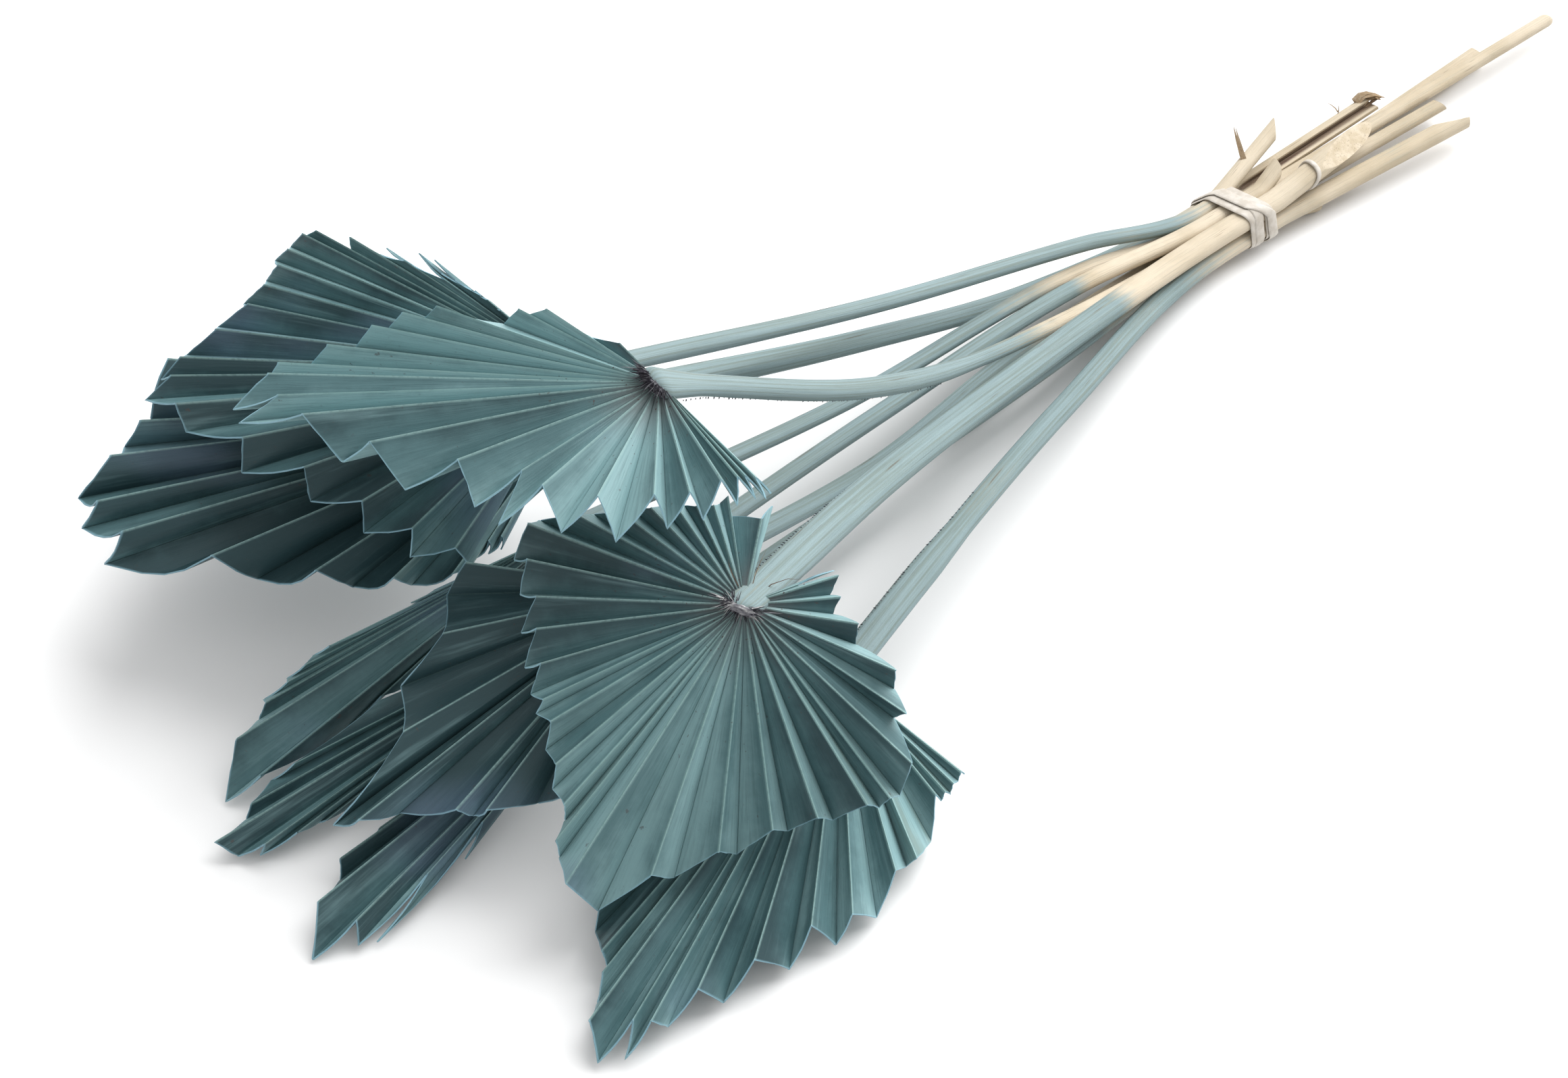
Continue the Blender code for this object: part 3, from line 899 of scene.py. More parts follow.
@dataclass(frozen=True)
class DyedBlade:
    """Dry leaf tissue dyed teal and pale along the ribs, with painted shade that darkens each facet towards
    its ridge and painted light on its paler facets.
    """

    deep: Colour = (0.018, 0.050, 0.058)
    teal: Colour = (0.070, 0.148, 0.160)
    bright: Colour = (0.205, 0.345, 0.360)
    violet: Colour = (0.125, 0.185, 0.275)
    olive: Colour = (0.105, 0.135, 0.095)
    rib: Colour = (0.300, 0.470, 0.455)
    edge: Colour = (0.240, 0.430, 0.520)
    bark: Colour = (0.060, 0.038, 0.034)
    roughness: float = 0.4
    roughness_spread: float = 0.3
    specular: float = 0.4
    blotches: Cloud = (30.0, 5.0, 0.65)
    tints: Cloud = (14.0, 2.0, 0.55)
    gnaws: Cloud = (900.0, 2.0, 0.55)
    specks: Cloud = (900.0, 1.0, 0.55)
    fine: Grain = (4.0, 0.05, 5.0, 0.7)
    streak: Grain = (0.8, 0.016, 4.0, 0.6)
    scratch: Grain = (1.6, 0.35, 3.0, 0.5)
    tint_shift: float = 0.7
    # Painted shade: how far the fold value lifts each facet's colour from its ridge to its valley.
    fold_shade_weight: float = 0.34
    blotch_weight: float = 0.62
    tone_weight: float = 0.64
    shade_weight: float = 0.5
    middle_shade: float = 0.74
    stops: tuple[float, float, float] = (0.22, 0.52, 0.86)
    streaked: Band = (0.52, 0.78, 0.5)
    tinted: Band = (0.54, 0.72, 0.4)
    aged: Band = (0.5, 0.8, 0.45)
    grained: Band = (0.45, 0.68, 0.45)
    grain_depth: float = 0.6
    scratched: Band = (0.70, 0.74, 0.55)
    stained: Band = (0.75, 1.3, 1.0)
    stain_raggedness: float = 0.5
    stain_weight: float = 0.75
    gnawed: Band = (0.36, 0.5, 0.28)
    rib_weight: float = 0.72
    edge_weight: float = 0.7
    spotted: Band = (0.72, 0.76, 1.0)
    least_spots: float = 0.15
    streak_height: float = 1.5

    def build(self, name: str, shade: float, seed: int) -> Finish:
        """Makes one leaf's material.

        Args:
            name: The material's name.
            shade: How pale the leaf is painted, from 0 to 1: partly its dye, partly painted shade on leaves
                that lie under others.
            seed: Moves the blotches, so that no two leaves match.

        Returns:
            The material.
        """
        sheet = NodeSheet(name)
        blotch, tint = sheet.clouds(self.blotches, seed), sheet.clouds(self.tints, self.tint_shift * seed)
        fine, streak = sheet.streaks(self.fine), sheet.streaks(self.streak)
        fold, tone, heart, rib, edge = map(sheet.value_at, ("fold", "tone", "heart", "rib", "edge"))
        # Painted shade: the fold value, 0 at each ridge and 1 at each valley, makes each facet paler towards
        # its valley; the blotches add to it.
        fold_shade_and_blotch = sheet.plus(sheet.times(fold, self.fold_shade_weight), sheet.times(blotch, self.blotch_weight))
        # The tone carries the facets' random paleness and their painted light.
        level = sheet.plus(fold_shade_and_blotch, sheet.times(tone, self.tone_weight))
        # Painted shade: leaves that lie under others are set darker through their shade.
        level = sheet.plus(level, self.shade_weight * (shade - self.middle_shade))
        base = sheet.ramp(level, self.stops, (self.deep, self.teal, self.bright))
        base = sheet.blend(sheet.between(streak, self.streaked), base, self.bright)
        base = sheet.blend(sheet.between(tint, self.tinted), base, self.violet)
        base = sheet.blend(sheet.between(sheet.times(tone, streak), self.aged), base, self.olive)
        darker = sheet.blend(self.grain_depth, base, self.deep)
        base = sheet.blend(sheet.between(fine, self.grained), base, darker)
        base = sheet.blend(sheet.between(sheet.streaks(self.scratch), self.scratched), base, self.bark)
        stain = sheet.between(sheet.plus(heart, sheet.times(blotch, self.stain_raggedness)), self.stained)
        base = sheet.blend(sheet.times(stain, self.stain_weight), base, self.bark)
        gnawed = sheet.plus(self.rib_weight, sheet.between(sheet.clouds(self.gnaws), self.gnawed))
        base = sheet.blend(sheet.times(rib, gnawed), base, self.rib)
        base = sheet.blend(sheet.times(edge, self.edge_weight), base, self.edge)
        spot = sheet.between(sheet.clouds(self.specks), self.spotted)
        base = sheet.blend(sheet.times(spot, sheet.plus(heart, self.least_spots)), base, self.bark)
        sheet.bump(sheet.plus(fine, sheet.times(streak, self.streak_height)), 0.6, 0.2)
        rough = sheet.plus(sheet.times(fine, self.roughness_spread), self.roughness)
        return sheet.coat(base, rough, self.specular)


@dataclass(frozen=True)
class DyedStalk:
    """Dry stalk fibre, pale blue-green by the blade and straw by the tie."""

    blue: Colour = (0.345, 0.470, 0.490)
    green: Colour = (0.270, 0.355, 0.335)
    straw: Colour = (0.500, 0.415, 0.290)
    pale_straw: Colour = (0.620, 0.535, 0.410)
    line: Colour = (0.075, 0.115, 0.115)
    bark: Colour = (0.090, 0.050, 0.030)
    dye: Colour = (0.050, 0.190, 0.330)
    roughness: float = 0.6
    specular: float = 0.3
    fibre: Grain = (2.6, 0.03, 6.0, 0.65)
    streak: Grain = (0.7, 0.010, 3.0, 0.55)
    scar: Grain = (1.1, 0.035, 3.0, 0.55)
    drip: Grain = (0.35, 0.05, 4.0, 0.7)
    clouds: Cloud = (24.0, 3.0, 0.55)
    greened: Band = (0.42, 0.62, 1.0)
    bleached: Band = (0.35, 0.65, 1.0)
    fade_raggedness: float = 0.9
    faded: Band = (0.1, 0.9, 1.0)
    lined: Band = (0.50, 0.68, 0.5)
    line_depth: float = 0.55
    scarred: Band = (0.66, 0.72, 0.55)
    dripped: Band = (0.66, 0.74, 0.5)
    inner: Band = (0.4, 0.6, 1.0)
    inner_depth: float = 0.7
    hollowed: Band = (0.15, 0.45, 1.0)
    pith_clouds: Cloud = (260.0, 3.0, 0.55)
    vessels: Cloud = (1800.0, 1.0, 0.55)
    dotted: Band = (0.60, 0.72, 0.35)
    pith_roughness: float = 0.8

    def build(self, name: str, paleness: float, seed: int) -> Finish:
        """Makes one stalk's material.

        Args:
            name: The material's name.
            paleness: How much of the light its dyed part gives back, of the palest leaf's 1.
            seed: Moves the blotches.

        Returns:
            The material.
        """
        sheet = NodeSheet(name)
        blue, green = (tuple(part * paleness for part in colour) for colour in (self.blue, self.green))
        fibre, streak = sheet.streaks(self.fibre), sheet.streaks(self.streak)
        cloud, fade = sheet.clouds(self.clouds, seed), sheet.value_at("fade")
        dyed = sheet.blend(sheet.between(streak, self.greened), blue, green)
        straw = sheet.blend(sheet.between(cloud, self.bleached), self.straw, self.pale_straw)
        ragged = sheet.times(sheet.minus(sheet.plus(cloud, streak), 1.0), self.fade_raggedness)
        base = sheet.blend(sheet.between(sheet.plus(fade, ragged), self.faded), dyed, straw)
        darker = sheet.blend(self.line_depth, base, self.line)
        base = sheet.blend(sheet.between(fibre, self.lined), base, darker)
        base = sheet.blend(sheet.between(sheet.streaks(self.scar), self.scarred), base, self.bark)
        drip = sheet.between(sheet.streaks(self.drip), self.dripped)
        base = sheet.blend(sheet.times(drip, sheet.minus(1.0, fade)), base, self.dye)
        inside = sheet.blend(sheet.between(fibre, self.inner), self.bark, self.straw)
        inside = sheet.blend(self.inner_depth, inside, self.bark)
        base = sheet.blend(sheet.between(sheet.value_at("hollow"), self.hollowed), base, inside)
        sheet.bump(fibre, 0.8, 0.3)
        return sheet.coat(base, self.roughness, self.specular)

    def cut(self) -> Finish:
        """Makes the pale pith that a cut end shows, with the dots of its vessels.

        Returns:
            The material.
        """
        sheet = NodeSheet("cut_pith")
        cloud = sheet.clouds(self.pith_clouds)
        pith = sheet.blend(sheet.between(cloud, self.bleached), self.pale_straw, self.straw)
        dots = sheet.between(sheet.clouds(self.vessels), self.dotted)
        sheet.bump(cloud, 0.5, 0.3)
        return sheet.coat(sheet.blend(dots, pith, self.bark), self.pith_roughness)


@dataclass(frozen=True)
class TornFibre:
    """Torn fibres: from violet grey to bone white where a blade springs from its stalk."""

    dark: Colour = (0.030, 0.028, 0.036)
    middle: Colour = (0.165, 0.165, 0.180)
    pale: Colour = (0.430, 0.430, 0.430)
    roughness: float = 0.95
    specular: float = 0.15
    grain: Cloud = (700.0, 4.0, 0.7)
    grain_weight: float = 0.9
    stops: tuple[float, float, float] = (0.1, 0.5, 0.9)

    def build(self, name: str) -> Finish:
        """Makes the fibres' material.

        Args:
            name: The material's name.

        Returns:
            The material.
        """
        sheet = NodeSheet(name)
        grain = sheet.clouds(self.grain)
        level = sheet.plus(sheet.value_at("tone"), sheet.times(sheet.minus(grain, 0.5), self.grain_weight))
        sheet.bump(grain, 0.8, 0.3)
        colour = sheet.ramp(level, self.stops, (self.dark, self.middle, self.pale))
        return sheet.coat(colour, self.roughness, self.specular)


@dataclass(frozen=True)
class NaturalRubber:
    """A stretched rubber band, matt and slightly dusty."""

    body: Colour = (0.450, 0.405, 0.345)
    worn_and_lit: Colour = (0.560, 0.520, 0.465)
    roughness: float = 0.5
    clouds: Cloud = (300.0, 3.0, 0.55)
    dusted: Band = (0.35, 0.65, 1.0)
    ripple: Grain = (3.0, 0.2, 3.0, 0.55)

    def build(self) -> Finish:
        """Makes the band's material.

        Returns:
            The material.
        """
        sheet = NodeSheet("stretched_rubber")
        dust = sheet.between(sheet.clouds(self.clouds), self.dusted)
        sheet.bump(sheet.streaks(self.ripple), 0.3, 0.08)
        return sheet.coat(sheet.blend(dust, self.body, self.worn_and_lit), self.roughness)


@dataclass
class PleatedBlade:
    """A leaf's blade: a thin sheet folded up and down by turns from its hub to its cut rim."""

    leaf: LeafShape
    view: Viewpoint
    thickness: float = 0.42
    fold_start: float = 3.5
    sheet_start: float = 2.2
    rows: int = 36
    row_crowding: float = 1.15
    least_step: float = 0.3
    opening_limits: tuple[float, float] = (0.6, 1.7)
    fit_rounds: int = 5
    find_places: int = 60
    find_rounds: int = 12
    angle_stride: float = 0.1
    radius_stride: float = 8
    reach_limits: tuple[float, float] = (8, 140)
    rim_band: float = 0.006
    rib_width: float = 0.5
    widest_rib: float = 0.22
    rib_height: float = 0.2
    ridge_mark: float = 0.75
    valley_mark: float = 0.15
    strip_pitch: float = 2.4
    heart_reach: float = 42.0
    tear: float = 0.35
    cut_leans: tuple[float, float, float] = (0.5, 0.87, 0)
    # Painted light: facets that face this side, the key light's, facets that lie narrow in the fan and the
    # fan's palest stretch are painted paler.
    lit_side: tuple[float, float, float] = (0.72, 0.12, 0.68)
    lit_least: float = 0.45
    lit_weight: float = 1.6
    chance_weight: float = 0.3
    palest_weight: float = 0.65
    palest_width: float = 0.13
    narrow_least: float = 1.1
    narrow_most: float = 0.8
    narrow_weight: float = 0.8
    tone_below: float = 0.22
    sharpest: float = 32
    fan: Fan = field(init=False)
    angles: list[float] = field(init=False)
    reaches: list[float] = field(init=False)
    openings: list[float] = field(init=False)

    def __post_init__(self) -> None:
        """Finds where the folds lie and how far each reaches."""
        self.fan = Fan(self.leaf)
        sights: list[Pixel | None] = [None]
        for tip in self.leaf.tips:
            if len(tip) == 1:
                sights += [None] * (2 * tip[0])
            else:
                sights += [tip[:2], tip[2:] or None]
        self.fit(sights)

    def lean_at(self, angle: float) -> float:
        """How far a ridge stands proud of the cut here, as a share of its reach."""
        return self.leaf.lean * self.fan.direction(angle).dot(Vector(self.cut_leans))

    def steep_at(self, angle: float) -> float:
        """How steep the folds stand here: less in the middle of the fan than at its sides."""
        middle, side = (math.tan(math.radians(a)) for a in self.leaf.folds)
        return side + (middle - side) * math.sin(math.pi * min(max(angle / self.fan.spread, 0), 1))

    def lift(self, angle: float, radius: float, opening: float) -> float:
        """How far a ridge rises over the unfolded sheet, in millimetres."""
        return 0.5 * opening * self.steep_at(angle) * max(0.0, radius - self.fold_start)

    def find(self, pixel: Pixel, opening: float) -> tuple[float, float]:
        """The fold that ends at a pixel.

        Args:
            pixel: The fold's end in the photograph.
            opening: The angle between folds there, less than nothing for a valley.

        Returns:
            The fold's angle and reach.
        """
        goal = Vector(pixel)
        turned, longer = 0.001, 0.05

        def miss(angle: float, radius: float) -> Vector:
            """How far off the pixel a fold of this angle and reach ends."""
            rise = self.fan.normal(angle) * self.lift(angle, radius, opening)
            return self.view.pixel(self.fan.hub + self.fan.direction(angle) * radius + rise) - goal

        tries = [self.fan.spread * i / self.find_places for i in range(self.find_places + 1)]
        angle = min(tries, key=lambda a: miss(a, self.fan.radius(a)).length)
        radius = self.fan.radius(angle)
        for _ in range(self.find_rounds):
            here = miss(angle, radius)
            by_angle = (miss(angle + turned, radius) - here) / turned
            by_radius = (miss(angle, radius + longer) - here) / longer
            scale = by_angle.x * by_radius.y - by_angle.y * by_radius.x
            if abs(scale) < 1e-6:
                break
            step_angle = (here.x * by_radius.y - here.y * by_radius.x) / scale
            step_radius = (by_angle.x * here.y - by_angle.y * here.x) / scale
            angle -= max(min(step_angle, self.angle_stride), -self.angle_stride)
            angle = min(max(angle, -0.05), self.fan.spread + 0.05)
            radius -= max(min(step_radius, self.radius_stride), -self.radius_stride)
            radius = max(min(radius, self.reach_limits[1]), self.reach_limits[0])
        return angle, radius

    def fit(self, sights: list[Pixel | None]) -> None:
        """Sets each fold's angle, reach and opening so that it ends where the photograph shows.

        Args:
            sights: The pixel where each fold ends, valleys at the even places, or None where
                another leaf hides it.
        """
        count = len(sights)
        index = np.arange(count)
        side = np.where(index % 2, 1.0, -1.0)
        known = [i for i, sight in enumerate(sights) if sight]
        regular = self.fan.spread / (count - 1)
        least, most = self.opening_limits
        openings = np.full(count, regular)
        reaches: dict[int, float] = {}
        for _ in range(self.fit_rounds):
            turns = []
            for i in known:
                angle, reaches[i] = self.find(sights[i], side[i] * openings[i])
                turns.append(angle)
            places = [0, *known] if known[0] else known
            turns = [0.0, *turns] if known[0] else turns
            if known[-1] < count - 1:
                places, turns = [*places, count - 1], [*turns, max(self.fan.spread, turns[-1])]
            angles = np.interp(index, places, turns)
            for i in range(1, count):
                angles[i] = max(angles[i], angles[i - 1] + self.least_step * regular)
            wide = np.gradient(angles)
            openings = 0.5 * openings + 0.5 * np.clip(wide, least * regular, most * regular)
        self.angles = [float(angle) for angle in angles]
        self.openings = [float(opening) for opening in openings]
        self.reaches = [
            reaches.get(i, self.fan.radius(angle) * (1 + side[i] * self.lean_at(angle)))
            for i, angle in enumerate(self.angles)
        ]

    def lines(self) -> np.ndarray:
        """The folds themselves, from the hub to the rim.

        Returns:
            Places as rows by folds by 3.
        """
        steps = np.linspace(0, 1, self.rows - 1)[:-1] ** self.row_crowding
        steps = np.append(steps, (1 - self.rim_band, 1.0))
        made = np.empty((self.rows, len(self.angles), 3))
        for i, (angle, reach, opening) in enumerate(zip(self.angles, self.reaches, self.openings)):
            side = 1 if i % 2 else -1
            direction, normal = self.fan.direction(angle), self.fan.normal(angle)
            for row, step in enumerate(steps):
                radius = self.sheet_start + (reach - self.sheet_start) * step
                rise = side * self.lift(angle, radius, opening)
                place = self.fan.hub + direction * radius + normal * rise
                made[row, i] = (place.x, place.y, max(place.z, self.thickness))
        return made

    def tone(self, i: int, facing: float, chance: float) -> float:
        """How pale a facet is painted: a random draw plus painted light.

        Args:
            i: The facet's number in the fan.
            facing: How squarely it looks towards the key light's side, up to 1.
            chance: A draw from 0 to 1.

        Returns:
            The tone that its material reads, more for a paler facet.
        """
        regular = (self.angles[-1] - self.angles[0]) / (len(self.angles) - 1)
        # Painted light: paler round the fan's palest stretch, on facets that face the key light and on narrow
        # facets.
        off = (self.angles[i] / self.fan.spread - self.leaf.palest) / self.palest_width
        worn_and_lit = max(0.0, facing - self.lit_least)
        share = (self.angles[i + 1] - self.angles[i]) / regular
        narrow = min(max(self.narrow_least - share, 0.0), self.narrow_most)
        tone = self.chance_weight * chance + self.palest_weight * math.exp(-(off**2))
        return tone + self.lit_weight * worn_and_lit + self.narrow_weight * narrow - self.tone_below

    def build(self, material: Finish) -> Piece:
        """Models the blade and dresses it.

        Args:
            material: The leaf's own finish.

        Returns:
            The blade.
        """
        folds = self.lines()
        rows, count = folds.shape[:2]
        draw = random.Random(100 + self.leaf.seed)
        normals = np.array([self.fan.normal(a) for a in self.angles])
        columns: list[np.ndarray] = []
        marks: dict[str, list[np.ndarray]] = {"rib": [], "tone": [], "fold": [], "across": []}

        def add(line: np.ndarray, *values: float | np.ndarray) -> None:
            """Keeps one line of the sheet and what its material reads there.

            Args:
                line: The line's places, from the hub to the rim.
                *values: What the material reads, in the order of the marks.
            """
            columns.append(line)
            for name, value in zip(marks, values):
                marks[name].append(np.broadcast_to(value, (rows,)))

        for i in range(count - 1):
            a, b = folds[:, i], folds[:, i + 1]
            width = np.linalg.norm(b - a, axis=1) + 1e-6
            rib = np.minimum(self.widest_rib, self.rib_width / width)
            out = np.cross(b - a, folds[-1, i] - folds[0, i])
            out /= np.linalg.norm(out, axis=1)[:, None] + 1e-9
            out *= np.sign((out * normals[i]).sum(1))[:, None]
            up = 1 if i % 2 else -1
            tone = self.tone(i, float(out[-1].dot(self.lit_side)), draw.random())
            mark = self.ridge_mark if i % 2 else self.valley_mark
            for k, share in enumerate((0.0, rib, 0.3, 0.5, 0.7, 1 - rib)):
                place = np.broadcast_to(share, (rows,))
                sag = self.leaf.curl * width * np.sin(np.pi * place) * up
                line = a + (b - a) * place[:, None] + out * sag[:, None]
                if k == 0:
                    line = line + normals[i] * (self.rib_height * up)
                # Painted shade: depth is 0 at the facet's ridge and 1 at its valley, and the blade's colour
                # grows paler with it.
                depth = 1 - place if up < 0 else place
                add(line, 0.0 if k else mark, tone, depth, (i + place) * self.strip_pitch)
        add(folds[:, -1], 0.0, 0.5, 1.0, (count - 1) * self.strip_pitch)
        points = np.stack(columns, 1)[:, ::-1]
        kept = {name: np.stack(values, 1)[:, ::-1] for name, values in marks.items()}
        points[-1] += self.ragged(points[-1], points[-2])
        radius = np.linalg.norm(points - np.array(self.fan.hub), axis=2)
        piece = Workbench.grid(f"{self.leaf.name}_pleats", points, np.stack([kept.pop("across"), radius], 2))
        kept["rib"] = kept["rib"] * np.clip(radius / 10, 0.5, 1)
        kept["edge"] = np.zeros_like(radius)
        kept["edge"][-1] = 1.0
        kept["heart"] = np.clip(1 - radius / self.heart_reach, 0, 1)
        for name, values in kept.items():
            Workbench.paint(piece, name, values)
        Workbench.thicken(piece, self.thickness)
        Workbench.smooth(piece, self.sharpest)
        return Workbench.finish(piece, Slot.BLADE, [material], (f"{self.leaf.name}_blade",))

    def ragged(self, rim: np.ndarray, inside: np.ndarray) -> np.ndarray:
        """Small uneven steps of the cut edge, where fibres tore.

        Args:
            rim: The edge's places.
            inside: The places of the row before it.

        Returns:
            How far each place of the edge moves.
        """
        run = rim - inside
        run /= np.linalg.norm(run, axis=1)[:, None] + 1e-9
        steps = [self.tear * noise.noise(Vector(point) * 0.9) for point in rim]
        return run * np.array(steps)[:, None]


@dataclass
class Stalk:
    """A leaf's stalk, from its hub through the tie to its free end."""

    leaf: LeafShape
    view: Viewpoint
    width: float = 6.4
    height: float = 5.0
    sides: int = 28
    channel: float = 0.12
    head_reach: float = 3.2
    head_flat: float = 0.35
    flat_reach: float = 0.09
    round_end: tuple[tuple[float, float], ...] = (
        (1.0, 0.06), (0.93, 0.42), (0.75, 0.72), (0.45, 0.92),
    )
    tie_half: float = 12.0
    step: float = 3.0
    split_start: float = 0.02
    oblique_depth: float = 0.42
    tooth_height: float = 0.75
    tooth_lean: float = 0.7
    tooth_side: tuple[float, float] = (0.82, 0.57)
    sharpest: float = 40
    path: Smooth = field(init=False)
    length: float = field(init=False)

    def __post_init__(self) -> None:
        """Lays the line from the hub to the tie."""
        hub = Vector(self.leaf.hub)
        entry = Vector((-self.tie_half, *self.leaf.slot))
        stops = [hub, *(Vector(way) for way in self.leaf.ways), entry]
        knots = [0.0]
        for a, b in zip(stops, stops[1:]):
            knots.append(knots[-1] + (b - a).length)
        self.path = Smooth(knots, stops)
        self.path.slopes[-1] = Vector((1, 0, 0))
        self.length = knots[-1]

    def line(self) -> tuple[list[Vector], list[float], list[float], list[float]]:
        """The stalk's places and its size along them.

        Returns:
            The places, the width and the height at each, and how far along the dye it lies.
        """
        hub, back = Vector(self.leaf.hub), -self.path.slopes[0].normalized()
        centres = [hub + back * (self.head_reach * share) for share, _ in self.round_end]
        scales = [scale for _, scale in self.round_end]
        shares = [0.0] * len(self.round_end)
        count = round(self.length / self.step)
        for i in range(count + 1):
            centres.append(self.path.at(self.length * i / count))
            shares.append(i / count)
        through = centres[-1] + Vector((self.tie_half + self.leaf.spring, 0, 0))
        end = Vector(self.leaf.end)
        end += (end - through).normalized() * self.leaf.overrun
        rest = max(4, round((end - through).length / self.step))
        centres += [through.lerp(end, i / rest) for i in range(rest + 1)]
        shares += [1 + 0.25 * (i + 1) / (rest + 1) for i in range(rest + 1)]
        scales += [1.0] * (len(shares) - len(scales))
        if not (self.leaf.cuts or self.leaf.oblique):
            for reach, scale in reversed(self.round_end):
                centres.append(end + (end - through).normalized() * (self.head_reach * reach))
                shares.append(shares[-1])
                scales.append(scale)
        places, factors = zip(*self.leaf.swell)
        girths = [
            self.leaf.girth * float(np.interp(share, places, factors)) * scale
            for share, scale in zip(shares, scales)
        ]
        flat = [1 - self.head_flat * math.exp(-((share / self.flat_reach) ** 2)) for share in shares]
        heights = [girth * self.height * f for girth, f in zip(girths, flat)]
        return centres, [girth * self.width for girth in girths], heights, shares

    def build(self, materials: list[Finish]) -> Piece:
        """Models the stalk, trims its end and dresses it.

        Args:
            materials: Its skin's finish and its cut face's.

        Returns:
            The stalk.
        """
        centres, widths, heights, shares = self.line()
        tube = Tube(centres, widths, heights, self.sides)
        if self.leaf.split:
            past_tie = (max(0.0, share - 1.0) for share in shares)
            tube.split = [self.leaf.split * min(1.0, past / self.split_start) for past in past_tie]
        piece = tube.build(f"{self.leaf.name}_petiole", channel=self.channel)
        low, high = self.leaf.fade
        fade = np.clip((np.array(shares) - low) / (high - low), 0, 1)
        turns = [2 * math.pi * (k % self.sides) / self.sides for k in range(self.sides + 1)]
        hollow = [[tube.opened(i, turn) for turn in turns] for i in range(len(centres))]
        Workbench.paint(piece, "fade", np.repeat(fade[:, None], self.sides + 1, 1))
        Workbench.paint(piece, "hollow", np.array(hollow))
        Workbench.close_tube(piece)
        for place, facing in self.trims():
            self.trim(piece, place, facing)
        Workbench.smooth(piece, self.sharpest)
        return Workbench.finish(piece, Slot.STALK, materials, (f"{self.leaf.name}_stalk",))

    def spine(self, material: Finish, low: float, high: float, side: float) -> Piece:
        """Adds the small saw teeth along one edge of the stalk.

        Args:
            material: What the teeth are made of.
            low: Where the row starts, as a share of the way from the hub to the tie.
            high: Where it ends.
            side: 1 for the edge on the right seen from the hub, -1 for the other.

        Returns:
            The row of teeth.
        """
        centres, widths, _, shares = self.line()
        draw = random.Random(40 + self.leaf.seed)
        sideways, down = self.tooth_side
        teeth = []
        share = low
        while share < high:
            centre, ahead = (
                Vector([float(np.interp(at, shares, [c[k] for c in centres])) for k in range(3)])
                for at in (share, share + 0.01)
            )
            run = (ahead - centre).normalized()
            across = run.cross(Vector((0, 0, 1))).normalized() * side
            across = (across * sideways - Vector((0, 0, down * side))).normalized()
            root = centre + across * (0.46 * float(np.interp(share, shares, widths)) - 0.15)
            size = draw.uniform(0.5, 1.0)
            tip = root + across * (self.tooth_height * size) - run * (self.tooth_lean * size)
            teeth.append((root, root + across * (0.3 * size), tip, 0.26 * size, draw.uniform(0.0, 0.45)))
            share += draw.uniform(0.8, 2.2) / self.length
        piece = Workbench.spikes(f"{self.leaf.name}_saw_teeth_{'right' if side > 0 else 'left'}", teeth)
        return Workbench.finish(piece, Slot.STALK, [material])

    def trims(self) -> list[tuple[Vector, Vector]]:
        """The strokes that cut the free end.

        Returns:
            A place on each stroke's plane, and the way the cut face looks.
        """
        end = Vector(self.leaf.end)
        made = []
        for *pixels, turned in self.leaf.cuts:
            low, high = (self.view.at_depth_of(pixel, end) for pixel in (pixels[:2], pixels[2:]))
            into = ((low + high) / 2 - Vector(self.view.place)).normalized()
            facing = (high - low).cross(into).normalized()
            if facing.x < 0:
                facing.negate()
            tilt = math.radians(turned)
            made.append(((low + high) / 2, facing * math.cos(tilt) - into * math.sin(tilt)))
        if self.leaf.oblique:
            run = (end - Vector((self.tie_half, *self.leaf.slot))).normalized()
            back = Vector(self.view.place) - end
            toward = (back - run * back.dot(run)).normalized()
            slope = math.radians(self.leaf.oblique)
            place = end - toward * (self.oblique_depth * self.height * self.leaf.girth)
            made.append((place, run * math.sin(slope) + toward * math.cos(slope)))
        return made

    def trim(self, piece: Piece, place: Vector, facing: Vector) -> None:
        """Cuts the free end with one stroke.

        Args:
            piece: The stalk.
            place: A place on the stroke's plane.
            facing: The way the cut face looks.
        """
        Workbench.pick(piece)
        bpy.ops.object.mode_set(mode="EDIT")
        bpy.ops.mesh.select_mode(type="VERT")
        bpy.ops.mesh.select_all(action="DESELECT")
        bpy.ops.object.mode_set(mode="OBJECT")
        for vertex in piece.data.vertices:
            vertex.select = vertex.co.x / MM + ORIGIN.x > self.tie_half
        bpy.ops.object.mode_set(mode="EDIT")
        bpy.ops.mesh.bisect(plane_co=(place - ORIGIN) * MM, plane_no=facing, use_fill=True, clear_outer=True)
        bpy.ops.object.mode_set(mode="OBJECT")
        for face in piece.data.polygons:
            if face.normal.dot(facing) > 0.99 and abs((face.center / MM + ORIGIN - place).dot(facing)) < 0.05:
                face.material_index = 1

    def sliver(self, pixels: tuple[Pixel, Pixel, Pixel], width: float, tone: float) -> Spike:
        """A torn fibre that stands off the stalk.

        Args:
            pixels: Where its root, middle and tip show in the photograph; its root is on the stalk.
            width: Half its root's width, in millimetres.
            tone: What its material reads.

        Returns:
            The fibre.
        """
        root = Vector(pixels[0])
        beside = min(self.line()[0], key=lambda centre: (self.view.pixel(centre) - root).length)
        return (*(self.view.at_depth_of(pixel, beside) for pixel in pixels), width, tone)


